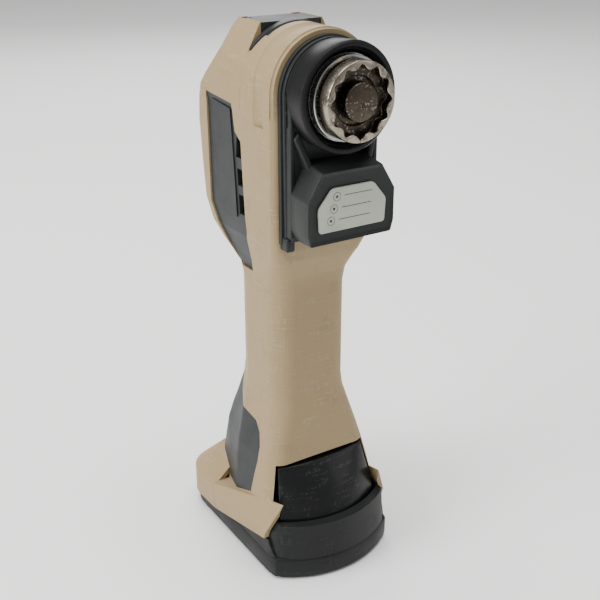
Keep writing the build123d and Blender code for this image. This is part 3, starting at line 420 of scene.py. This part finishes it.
class Form:
    """A bmesh with the operators that the tool's pieces are shaped by, in millimetres."""

    def __init__(self) -> None:
        """Starts empty."""
        self.bm = bmesh.new()

    def spin(self, profile: list[tuple[float, float]], angle: float = 2 * math.pi, steps: int = 96,
             start: float = 0.0) -> None:
        """Spins a profile about the spindle axis.

        Args:
            profile: Points as (y, radius).
            angle: How far round it goes.
            steps: Segments of the turn.
            start: Where it starts, from the upright, clockwise seen from the front.
        """
        verts = [self.bm.verts.new((0, y, radius)) for y, radius in profile]
        edges = [self.bm.edges.new(pair) for pair in zip(verts, verts[1:] + verts[:1])]
        bmesh.ops.rotate(self.bm, verts=verts, cent=(0, 0, 0), matrix=Matrix.Rotation(start, 3, "Y"))
        full = abs(angle) > 2 * math.pi - 0.001
        bmesh.ops.spin(
            self.bm, geom=verts + edges, cent=(0, 0, 0), axis=(0, 1, 0), angle=angle, steps=steps,
            use_merge=full, use_duplicate=False,
        )
        if not full:
            bmesh.ops.holes_fill(self.bm, edges=self.bm.edges, sides=len(profile))
        bmesh.ops.translate(self.bm, verts=self.bm.verts, vec=(0, 0, SPINDLE_Z))

    def plate(
        self,
        outline: list[Vector | tuple[float, float, float]],
        travel: tuple[float, float, float],
    ) -> None:
        """Extrudes a flat outline.

        Args:
            outline: Its corners in order.
            travel: How far and where to.
        """
        verts = [self.bm.verts.new(corner) for corner in outline]
        face = self.bm.faces.new(verts)
        grown = bmesh.ops.extrude_face_region(self.bm, geom=[face], use_keep_orig=True)
        moved = [part for part in grown["geom"] if isinstance(part, bmesh.types.BMVert)]
        bmesh.ops.translate(self.bm, verts=moved, vec=travel)

    def round_edges(self, width: float, segments: int = 3, sharper: float = 25.0) -> None:
        """Bevels the edges that turn by more than an angle.

        Args:
            width: The bevel's width.
            segments: Its segments.
            sharper: The angle in degrees.
        """
        self.tidy()
        limit = math.radians(sharper)
        edges = [edge for edge in self.bm.edges if edge.is_manifold and edge.calc_face_angle(0.0) > limit]
        bmesh.ops.bevel(
            self.bm, geom=edges, offset=width, offset_type="OFFSET", affect="EDGES", segments=segments,
            profile=0.5, material=-1, clamp_overlap=True,
        )

    def tidy(self) -> None:
        """Merges doubles and turns every face outwards."""
        bmesh.ops.remove_doubles(self.bm, verts=self.bm.verts, dist=0.0005)
        bmesh.ops.recalc_face_normals(self.bm, faces=self.bm.faces)

    def piece(self, name: str, body: Body, materials: list[bpy.types.Material],
              replaced: tuple[str, ...] = ()) -> bpy.types.Object:
        """Makes the finished object, in metres.

        Args:
            name: The piece's name.
            body: The moving group it rides on.
            materials: Its materials, the first on every face that has no other.
            replaced: CAD nodes it stands for.

        Returns:
            The object.
        """
        self.tidy()
        bmesh.ops.scale(self.bm, verts=self.bm.verts, vec=(MM, MM, MM))
        return place(self.bm, name, body, materials, replaced)


def place(bm: bmesh.types.BMesh, name: str, body: Body, materials: list[bpy.types.Material],
          replaced: tuple[str, ...]) -> bpy.types.Object:
    """Turns a bmesh in metres into a piece that rides on its body.

    Args:
        bm: The mesh, which is freed.
        name: The piece's name.
        body: The moving group it rides on.
        materials: Its materials.
        replaced: CAD nodes it stands for.

    Returns:
        The object.
    """
    for face in bm.faces:
        face.smooth = True
    for edge in bm.edges:
        edge.smooth = not edge.is_manifold or edge.calc_face_angle(0.0) < SMOOTH_ANGLE
    mesh = bpy.data.meshes.new(name)
    bm.to_mesh(mesh)
    bm.free()
    for material in materials:
        mesh.materials.append(material)
    made = bpy.data.objects.new(name, mesh)
    bpy.context.scene.collection.objects.link(made)
    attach(made, body.value)
    if replaced:
        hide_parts(*replaced)
    LOG.info("%s: %d faces on %s", name, len(mesh.polygons), body.value)
    return made


def bowed(half: float, middle: float, side: float, steps: int) -> list[tuple[float, float]]:
    """Points of a shallow arc in plan, from -half to half.

    Args:
        half: Half its width.
        middle: Y at its middle.
        side: Y at its ends.
        steps: How many runs it is cut into.

    Returns:
        The points as (x, y).
    """
    rise = side - middle
    radius = (half * half + rise * rise) / (2 * rise)
    reach = math.asin(half / radius)
    angles = [reach * (2 * step / steps - 1) for step in range(steps + 1)]
    return [(radius * math.sin(angle), middle + radius * (1 - math.cos(angle))) for angle in angles]


# ---- sub-assemblies ---------------------------------------------------------


@dataclass
class ToolHolder:
    """The star cup, its rings and the clamp bolt at the end of the spindle."""

    paint: Paintbox
    front: float = -61.9
    floor: float = -57.4
    back: float = -55.0
    radius: float = 18.3
    points: int = 12
    star: tuple[float, float] = (14.4, 16.6)
    hole: float = 10.9
    bolt: float = 8.8
    bolt_front: float = -62.4
    bolt_back: float = 26.6
    shank: float = 4.5
    knurls: int = 60
    knurl_growth: float = 1.012

    def ring(self, form: Form, y: float, radius: float, tip: float = 0.0) -> list[bmesh.types.BMEdge]:
        """Adds one loop of the cup.

        Args:
            form: The mesh.
            y: Where it is along the spindle.
            radius: Its radius, or a star's inner radius.
            tip: A star's outer radius.

        Returns:
            The loop's edges.
        """
        segments = self.points * 8
        made = bmesh.ops.create_circle(form.bm, cap_ends=False, segments=segments, radius=1.0)
        for vert in made["verts"]:
            turn = math.atan2(vert.co.y, vert.co.x)
            wave = 0.5 + 0.5 * math.cos(turn * self.points)
            reach = radius + max(0.0, tip - radius) * wave ** 1.4
            vert.co = (reach * math.sin(turn), y, SPINDLE_Z + reach * math.cos(turn))
        return list({edge for vert in made["verts"] for edge in vert.link_edges})

    def cup(self) -> None:
        """Builds the cup from its loops, rim first."""
        form = Form()
        low, high = self.star
        loops = [
            (self.back, 4.6, 0.0), (self.back, self.radius - 0.8, 0.0), (self.back - 0.8, self.radius, 0.0),
            (self.front + 0.9, self.radius, 0.0), (self.front + 0.25, self.radius - 0.25, 0.0),
            (self.front, self.radius - 0.75, 0.0), (self.front, low + 0.35, high + 0.3),
            (self.front + 0.3, low, high), (self.floor - 0.3, low, high), (self.floor, low - 0.3, high - 0.4),
            (self.floor, self.hole + 0.5, 0.0), (self.floor + 0.5, self.hole, 0.0),
            (self.back - 0.7, self.hole, 0.0), (self.back - 0.7, 4.6, 0.0),
        ]
        rings = [self.ring(form, *loop) for loop in loops]
        for first, second in zip(rings, rings[1:] + rings[:1]):
            bmesh.ops.bridge_loops(form.bm, edges=first + second)
        form.bm.faces.ensure_lookup_table()
        for face in form.bm.faces:
            centre = face.calc_center_median()
            reach = math.hypot(centre.x, centre.z - SPINDLE_Z)
            outside = reach > self.radius - 0.9 and centre.y > self.front + 0.2
            rim = centre.y < self.front + 0.5 and reach > self.star[0]
            face.material_index = 1 if rim or outside else 0
        holder = [self.paint.get(name) for name in ("holder_steel", "bright_rim")]
        form.piece("star_cup", Body.SPINDLE, holder, ("tool_holder",))

    def clamp_bolt(self) -> None:
        """Builds the bolt: a flat face, a knurled side and its shank."""
        form = Form()
        head_back = self.floor + 0.6
        steps = 2 * self.knurls
        form.spin([
            (self.bolt_front, 0.0), (self.bolt_front, self.bolt - 0.9),
            (self.bolt_front + 0.25, self.bolt - 0.45), (self.bolt_front + 0.7, self.bolt - 0.1),
            (head_back, self.bolt - 0.1), (head_back, self.shank),
            (self.bolt_back, self.shank), (self.bolt_back, 0.0),
        ], steps=steps)
        for vert in form.bm.verts:
            across, up = vert.co.x, vert.co.z - SPINDLE_Z
            on_side = abs(math.hypot(across, up) - self.bolt + 0.1) < 0.02
            if on_side and round(math.atan2(across, up) * steps / (2 * math.pi)) % 2:
                vert.co.x = across * self.knurl_growth
                vert.co.z = SPINDLE_Z + up * self.knurl_growth
        steel = [self.paint.get("holder_steel")]
        form.piece("clamp_bolt_turned", Body.CLAMP, steel, ("clamp_bolt",))

    def washers(self) -> None:
        """Builds the two bright rings behind the cup, with dark gaps between."""
        front_ring = Form()
        front_ring.spin([
            (-53.3, 7.5), (-53.3, 19.1), (-53.0, 19.5), (-52.7, 19.5), (-52.4, 19.1), (-52.4, 7.5),
        ])
        steel = [self.paint.get("silver_ring")]
        front_ring.piece("spindle_ring_turned", Body.SPINDLE, steel, ("spindle_ring",))
        rear_ring = Form()
        rear_ring.spin([
            (-50.1, 9.0), (-50.1, 19.8), (-49.8, 20.1), (-49.5, 20.1), (-49.3, 19.9), (-49.3, 9.0),
        ])
        rear_ring.piece("dust_ring_turned", Body.HOUSING, steel, ("dust_ring",))
        hub = Form()
        hub.spin([(-55.0, 7.5), (-55.0, 15.6), (-53.3, 15.6), (-53.3, 7.5)])
        hub.piece("holder_neck", Body.SPINDLE, [self.paint.get("holder_steel")])

    def build(self) -> None:
        """Builds every piece of the holder."""
        self.cup()
        self.clamp_bolt()
        self.washers()


@dataclass
class FrontCover:
    """The black cover with the collar round the spindle, its platform and the label."""

    paint: Paintbox
    back: float = -33.15
    base_front: float = -41.0
    low: float = 186.0
    half: float = 25.8
    collar_front: float = -53.0
    collar_radius: float = 25.7
    label_y: float = -57.0
    steps: int = 32

    def arch(self, y: float, radius: float, half: float, low: float) -> list[tuple[float, float, float]]:
        """An arch-shaped outline about the spindle.

        Args:
            y: Its plane.
            radius: Radius of the round top.
            half: Half width of the legs.
            low: Height of its bottom edge.

        Returns:
            Its corners.
        """
        turns = [math.pi * step / self.steps for step in range(self.steps + 1)]
        top = [(-radius * math.cos(turn), y, SPINDLE_Z + radius * math.sin(turn)) for turn in turns]
        return [(-half, y, low)] + top + [(half, y, low)]

    def base(self) -> None:
        """Builds the arch plate with its stepped flange, bottom lugs, and side grooves drawn as near-black
        blocks of painted shade.
        """
        form = Form()
        form.plate(self.arch(self.back, 26.0, self.half, self.low), (0, -2.4, 0))
        form.plate(self.arch(self.back - 2.4, 25.2, 24.6, self.low + 1.2), (0, -2.2, 0))
        last = self.back - 4.6
        form.plate(self.arch(last, 24.6, 23.4, self.low + 2.4), (0, self.base_front - self.back + 4.6, 0))
        form.round_edges(0.45)
        black = [self.paint.get("cover_black")]
        form.piece("cover_base", Body.HOUSING, black, ("front_cover",))
        for side, word in ((-1, "left"), (1, "right")):
            rail = Form()
            corners = [(side * 24.3, self.back - 2, z) for z in (190, 252)]
            corners += [(side * 22.0, self.back - 2, z) for z in (252, 190)]
            rail.plate(corners, (0, -6.6, 0))
            rail.round_edges(0.5)
            rail.piece(f"cover_rail_{word}", Body.HOUSING, black)
            # Each side groove is not cut: a near-black matte block stands proud of the steps as painted
            # shade.
            slot = Form()
            corners = [(side * 25.0, self.back - 2.1, z) for z in (243, 258)]
            corners += [(side * 23.9, self.back - 2.1, z) for z in (258, 243)]
            slot.plate(corners, (0, -3.8, 0))
            slot.piece(f"painted_slot_shade_{word}", Body.HOUSING, [self.paint.get("gap")])
            lug = Form()
            corners = [(side * 25.3, self.back - 0.1, z) for z in (183.2, 190)]
            corners += [(side * 20.7, self.back - 0.1, z) for z in (190, 183.2)]
            lug.plate(corners, (0, -6.6, 0))
            lug.round_edges(0.8)
            lug.piece(f"cover_lug_{word}", Body.HOUSING, black)

    def collar(self) -> None:
        """Spins the collar, with a rounded lip and a recess that runs back to the seal."""
        form = Form()
        outer = self.collar_radius
        front = self.collar_front
        form.spin([
            (self.base_front + 2, outer - 0.9), (-45.0, outer - 0.5), (front + 2.2, outer),
            (front + 0.9, outer - 0.25), (front + 0.2, outer - 0.95), (front, outer - 1.9),
            (front + 0.2, outer - 2.8), (front + 1.0, outer - 3.6), (front + 3.4, outer - 4.6),
            (-48.4, 20.4), (-48.2, 19.4), (self.base_front + 2, 19.4),
        ])
        form.piece("cover_collar", Body.HOUSING, [self.paint.get("collar")])

    def platform(self) -> None:
        """Builds the raised platform under the collar, falling away in facets to the base."""
        form = Form()
        front = self.label_y + 0.4
        outline = [(-22.7, 190.5), (22.7, 190.5), (24.2, 196), (24.2, 212), (16.5, 224.6), (-16.5, 224.6),
                   (-24.2, 212), (-24.2, 196)]
        form.plate([(x, self.base_front + 1, z) for x, z in outline], (0, front - self.base_front - 1, 0))
        form.tidy()
        for vert in form.bm.verts:
            if vert.co.y > front + 1:
                vert.co.z = 208 + (vert.co.z - 208) * (1.0 if vert.co.z < 208 else 1.16)
        top = min(form.bm.faces, key=lambda face: face.calc_center_median().y)
        bmesh.ops.inset_region(form.bm, faces=[top], thickness=1.6, depth=0.0, use_even_offset=True)
        bmesh.ops.translate(form.bm, verts=list(top.verts), vec=(0, 1.1, 0))
        form.round_edges(0.7)
        black = [self.paint.get("cover_black")]
        form.piece("label_platform", Body.HOUSING, black)
        for side, word in ((-1, "left"), (1, "right")):
            rib = Form()
            lower = Vector((side * 13.0, self.base_front + 1, 219))
            ends = [
                lower,
                lower + Vector((side * 3.4, 0, 1.2)),
                Vector((side * 23.2, self.base_front + 1, 238)),
                Vector((side * 20.6, self.base_front + 1, 241)),
            ]
            rib.plate(ends, (0, -7.5, 0))
            for vert in rib.bm.verts:
                if vert.co.z > 236 and vert.co.y < self.base_front - 2:
                    vert.co.y = self.base_front - 2.5
            rib.round_edges(0.9)
            rib.piece(f"cover_rib_{word}", Body.HOUSING, black)

    def label(self) -> None:
        """Builds the pale label with three rows, each a ringed dot and a bar."""
        form = Form()
        outline = [
            (-18.3, 198.6), (18.3, 198.6), (18.9, 210.2), (11.4, 219.2), (-11.4, 219.2), (-18.9, 210.2),
        ]
        form.plate([(x, self.label_y + 1.5, z - 2.2) for x, z in outline], (0, -1.3, 0))
        form.tidy()
        upright = [edge for edge in form.bm.edges if abs(edge.verts[0].co.y - edge.verts[1].co.y) > 1]
        bmesh.ops.bevel(form.bm, geom=upright, offset=1.4, offset_type="OFFSET", affect="EDGES", segments=4,
                        profile=0.5, material=-1)
        form.round_edges(0.2, 2, 60)
        form.piece("label_sheet", Body.HOUSING, [self.paint.get("label")], ("label_plate",))
        marks = Form()
        face = self.label_y + 0.13
        upright_turn = Matrix.Rotation(math.pi / 2, 3, "X")
        for row in range(3):
            centre = Vector((-9.0 - row * 1.6, face, 213.0 - row * 5.6))
            for radius, wide in ((2.1, 0.16), (0.7, 0.7)):
                points = 24 if wide < 0.5 else 8
                outer = bmesh.ops.create_circle(
                    marks.bm, cap_ends=wide > 0.5, segments=points, radius=radius
                )
                verts = list(outer["verts"])
                if wide < 0.5:
                    inner = bmesh.ops.create_circle(
                        marks.bm, cap_ends=False, segments=points, radius=radius - wide
                    )
                    verts += inner["verts"]
                    edges = list({edge for vert in verts for edge in vert.link_edges})
                    bmesh.ops.bridge_loops(marks.bm, edges=edges)
                bmesh.ops.rotate(marks.bm, verts=verts, cent=(0, 0, 0), matrix=upright_turn)
                bmesh.ops.translate(marks.bm, verts=verts, vec=centre)
            x_low = centre.x + 4.2
            bar = [(x_low, 0), (x_low + 15.5 + row * 1.2, 0), (x_low + 15.5 + row * 1.2, 0.28), (x_low, 0.28)]
            marks.bm.faces.new([marks.bm.verts.new((x, face, centre.z + z)) for x, z in bar])
        bmesh.ops.solidify(marks.bm, geom=marks.bm.faces[:], thickness=0.05)
        marks.piece("label_marks", Body.HOUSING, [self.paint.get("print")])

    def build(self) -> None:
        """Builds every piece of the cover."""
        self.base()
        self.collar()
        self.platform()
        self.label()


@dataclass
class HousingShell:
    """The tan halves, copied from the CAD and cut with the groove and step behind the front rim."""

    paint: Paintbox
    nodes: dict[str, bpy.types.Object]
    groove_y: float = -20.5
    groove_radius: float = 32.6
    groove_size: tuple[float, float] = (6.5, 5.4)
    leg_low: float = 240.0
    halves: tuple[str, ...] = ("housing_left", "housing_right")

    def cutter(self, name: str, profile: list[tuple[float, float]], low: float) -> bpy.types.Object:
        """A tool that cuts an arch-shaped channel.

        Args:
            name: The cutter's name.
            profile: Its section as (y, radius).
            low: How far down its legs run.

        Returns:
            The object, which isn't part of the tool.
        """
        form = Form()
        form.spin(profile, angle=math.pi, steps=48, start=-math.pi / 2)
        form.tidy()
        ends = [face for face in form.bm.faces if abs(face.calc_center_median().z - SPINDLE_Z) < 0.01]
        for face in ends:
            region = bmesh.ops.extrude_face_region(form.bm, geom=[face])
            moved = [part for part in region["geom"] if isinstance(part, bmesh.types.BMVert)]
            bmesh.ops.translate(form.bm, verts=moved, vec=(0, 0, low - SPINDLE_Z))
            form.bm.faces.remove(face)
        form.tidy()
        bmesh.ops.scale(form.bm, verts=form.bm.verts, vec=(MM, MM, MM))
        mesh = bpy.data.meshes.new(name)
        form.bm.to_mesh(mesh)
        form.bm.free()
        made = bpy.data.objects.new(name, mesh)
        bpy.context.scene.collection.objects.link(made)
        return made

    def cut(self, source: bpy.types.Object, tools: list[bpy.types.Object]) -> bmesh.types.BMesh:
        """Cuts a merged copy of a CAD node.

        Args:
            source: The CAD node.
            tools: The cutters.

        Returns:
            The cut mesh, in metres.
        """
        bm = bmesh.new()
        bm.from_mesh(source.data)
        bmesh.ops.remove_doubles(bm, verts=bm.verts, dist=MERGE)
        mesh = bpy.data.meshes.new("blank")
        bm.to_mesh(mesh)
        bm.free()
        blank = bpy.data.objects.new("blank", mesh)
        bpy.context.scene.collection.objects.link(blank)
        for tool in tools:
            modifier = blank.modifiers.new("cut", "BOOLEAN")
            modifier.operation = "DIFFERENCE"
            modifier.solver = "EXACT"
            modifier.object = tool
        bpy.context.view_layer.update()
        result = bpy.data.meshes.new_from_object(blank.evaluated_get(bpy.context.evaluated_depsgraph_get()))
        cut = bmesh.new()
        cut.from_mesh(result)
        bmesh.ops.remove_doubles(cut, verts=cut.verts, dist=MERGE)
        bpy.data.objects.remove(blank)
        return cut

    def build(self) -> None:
        """Cuts both halves."""
        wide, deep = self.groove_size
        turns = [2 * math.pi * step / 20 for step in range(20)]
        groove = [
            (self.groove_y + wide * math.cos(turn), self.groove_radius + deep * math.sin(turn))
            for turn in turns
        ]
        step = [(-36.0, 27.9), (-31.4, 27.9), (-30.9, 28.4), (-30.9, 33.0), (-36.0, 33.0)]
        tools = [self.cutter("groove_cutter", groove, self.leg_low), self.cutter("step_cutter", step, 196.0)]
        for half in self.halves:
            bm = self.cut(self.nodes[half], tools)
            tan = [self.paint.get("housing_tan")]
            shell = place(bm, f"{half}_shell", Body.HOUSING, tan, (half,))
            weighted = shell.modifiers.new("even_shading", "WEIGHTED_NORMAL")
            weighted.keep_sharp = True
        for tool in tools:
            bpy.data.objects.remove(tool)


@dataclass
class ReleaseButton:
    """The glossy arched button at the battery's front."""

    paint: Paintbox
    low: tuple[float, float, float, float] = (31.4, 31.0, -50.2, -39.5)
    top: tuple[float, float, float, float] = (59.4, 26.6, -34.8, -31.5)
    thick: float = 3.0
    columns: int = 28
    rows: int = 10

    def build(self) -> None:
        """Bends a grid into the arch, thickens it and rounds its edges."""
        form = Form()
        bmesh.ops.create_grid(form.bm, x_segments=self.columns, y_segments=self.rows, size=1.0)
        for vert in form.bm.verts:
            share = vert.co.y * 0.5 + 0.5
            height, half, middle, side = [
                low + (top - low) * share for low, top in zip(self.low, self.top)
            ]
            crown = 1.1 * math.sin(math.pi * share)
            across = vert.co.x
            depth = middle + (side - middle) * across * across - crown * (1 - across ** 4)
            vert.co = (across * half, depth, height)
        bmesh.ops.recalc_face_normals(form.bm, faces=form.bm.faces)
        if sum(face.normal.y for face in form.bm.faces) > 0:
            bmesh.ops.reverse_faces(form.bm, faces=form.bm.faces)
        bmesh.ops.solidify(form.bm, geom=form.bm.faces[:], thickness=self.thick)
        form.round_edges(0.9, 3, 50)
        gloss = [self.paint.get("button_gloss")]
        form.piece("release_button", Body.BUTTON, gloss, ("battery_button",))


@dataclass
class FootBand:
    """The stepped band round the battery's foot."""

    paint: Paintbox
    half: float = 37.3
    front: float = -57.0
    back: float = 53.0
    rise: float = 14.0
    low: float = 1.3
    high: float = 12.6
    back_corner: float = 16.0
    front_corner: float = 9.0

    def outline(self) -> list[tuple[float, float]]:
        """The plan of the case.

        Returns:
            Its corners as (x, y), rounded.
        """
        bm = bmesh.new()
        nose = bowed(self.half, self.front, self.front + self.rise, 40)
        corners = [(x, y, 0) for x, y in nose] + [(self.half, self.back, 0), (-self.half, self.back, 0)]
        bm.faces.new([bm.verts.new(corner) for corner in corners])
        sharp = [vert for vert in bm.verts if abs(abs(vert.co.x) - self.half) < 0.01]
        for reach, behind in ((self.back_corner, True), (self.front_corner, False)):
            picked = [vert for vert in sharp if vert.is_valid and (vert.co.y > 0) == behind]
            bmesh.ops.bevel(bm, geom=picked, offset=reach, offset_type="OFFSET", affect="VERTICES",
                            segments=12, profile=0.5, material=-1)
        points = [(loop.vert.co.x, loop.vert.co.y) for loop in bm.faces[:][0].loops]
        bm.free()
        return points

    def build(self) -> None:
        """Bridges plan outlines into a closed band, a little proud of the case."""
        form = Form()
        outline = self.outline()
        stack = [(self.low, 0.6), (self.low + 0.3, -0.1), (self.low + 1.0, -0.4), (self.high - 0.9, -0.4),
                 (self.high - 0.2, -0.1), (self.high, 0.5), (self.high, 1.4), (self.low, 1.4)]
        rings = []
        for height, inset in stack:
            verts = [
                form.bm.verts.new((x * (1 - inset / self.half), y * (1 - inset / -self.front), height))
                for x, y in outline
            ]
            rings.append([form.bm.edges.new(pair) for pair in zip(verts, verts[1:] + verts[:1])])
        for first, second in zip(rings, rings[1:] + rings[:1]):
            bmesh.ops.bridge_loops(form.bm, edges=first + second)
        form.piece("battery_foot_band", Body.BATTERY, [self.paint.get("battery_grey")])


@dataclass
class LeverSaddle:
    """The dark strip of the clamp lever that hugs the head's arch."""

    paint: Paintbox
    back: float = -4.5
    front: float = -10.0
    radius: float = 28.9
    reach: float = math.radians(55)

    def build(self) -> None:
        """Spins the strip and tapers it towards its tips."""
        form = Form()
        form.spin([
            (self.back, self.radius - 0.6), (self.back, self.radius + 0.1),
            (self.back - 0.4, self.radius + 0.4), (self.front + 0.4, self.radius + 0.4),
            (self.front, self.radius), (self.front, self.radius - 0.6),
        ], angle=2 * self.reach, steps=40, start=-self.reach)
        for vert in form.bm.verts:
            turn = abs(math.atan2(vert.co.x, vert.co.z - SPINDLE_Z)) / self.reach
            share = (vert.co.y - self.back) / (self.front - self.back)
            vert.co.y = self.back + share * (self.front - self.back) * (1 - 0.75 * turn * turn)
        form.piece("lever_saddle", Body.LEVER, [self.paint.get("panel_grey")])


@dataclass
class Studio:
    """Floor, soft lights and the camera."""

    back: Vector = field(default_factory=lambda: Vector((-0.4918, -0.7727, 0.4015)))
    eye: Vector = field(default_factory=lambda: Vector((-252.35, -407.80, 348.90)) * MM)
    lens: float = 58.92
    room_light: float = 0.42
    floor_colour: tuple[float, float, float, float] = (0.93, 0.93, 0.92, 1.0)
    aim_height: float = 0.15

    def floor(self) -> None:
        """Lays a plain pale floor."""
        bm = bmesh.new()
        bmesh.ops.create_grid(bm, x_segments=1, y_segments=1, size=9.0)
        mesh = bpy.data.meshes.new("floor")
        bm.to_mesh(mesh)
        bm.free()
        ground = bpy.data.objects.new("floor", mesh)
        bpy.context.scene.collection.objects.link(ground)
        paper = bpy.data.materials.new("pale_floor")
        paper.use_nodes = True
        surface = paper.node_tree.nodes["Principled BSDF"]
        surface.inputs["Base Color"].default_value = self.floor_colour
        surface.inputs["Roughness"].default_value = 0.9
        mesh.materials.append(paper)

    def lamp(self, name: str, spot: tuple[float, float, float], size: float, power: float) -> None:
        """Hangs one soft light that points at the tool.

        Args:
            name: Its name.
            spot: Where it is, in metres.
            size: Its side, in metres.
            power: Its power in watts.
        """
        light = bpy.data.lights.new(name, "AREA")
        light.size = size
        light.energy = power
        lamp = bpy.data.objects.new(name, light)
        lamp.location = spot
        aim = Vector(spot) - Vector((0, 0, self.aim_height))
        lamp.rotation_euler = aim.to_track_quat("Z", "Y").to_euler()
        bpy.context.scene.collection.objects.link(lamp)

    def build(self) -> None:
        """Builds the studio."""
        self.floor()
        self.lamp("key_left", (-1.5, 0.15, 0.9), 1.0, 30.0)
        self.lamp("fill_right", (1.3, -1.2, 0.8), 0.9, 3.5)
        self.lamp("top", (0.0, 0.0, 2.2), 1.8, 62.0)
        self.lamp("rim_back", (0.6, 1.4, 1.0), 0.8, 9.0)
        world = bpy.data.worlds.new("soft_room")
        world.use_nodes = True
        background = world.node_tree.nodes["Background"]
        background.inputs["Color"].default_value = (1.0, 1.0, 1.0, 1.0)
        background.inputs["Strength"].default_value = self.room_light
        bpy.context.scene.world = world
        data = bpy.data.cameras.new("camera")
        data.lens = self.lens
        data.sensor_width = 36.0
        data.clip_start = 0.01
        camera = bpy.data.objects.new("camera", data)
        camera.location = self.eye
        camera.rotation_euler = self.back.to_track_quat("Z", "Y").to_euler()
        bpy.context.scene.collection.objects.link(camera)
        bpy.context.scene.camera = camera


def dress(frame: dict, paint: Paintbox) -> None:
    """Gives every CAD node the procedural finish of its slot.

    Args:
        paint: The finishes.
    """
    slots = {part["node"]: part["material_slot"] for part in frame["record"]["subparts"]}
    for name, node in frame["nodes"].items():
        material = paint.get(slots[name])
        if not node.material_slots:
            node.data.materials.append(material)
        for slot in node.material_slots:
            slot.material = material


def main() -> None:
    """Builds the pieces in order."""
    logging.basicConfig(level=logging.INFO)
    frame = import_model()
    paint = Paintbox()
    dress(frame, paint)
    for assembly in (
        ToolHolder(paint),
        FrontCover(paint),
        HousingShell(paint, frame["nodes"]),
        ReleaseButton(paint),
        FootBand(paint),
        LeverSaddle(paint),
        Studio(),
    ):
        assembly.build()


if __name__ == "__main__":
    main()
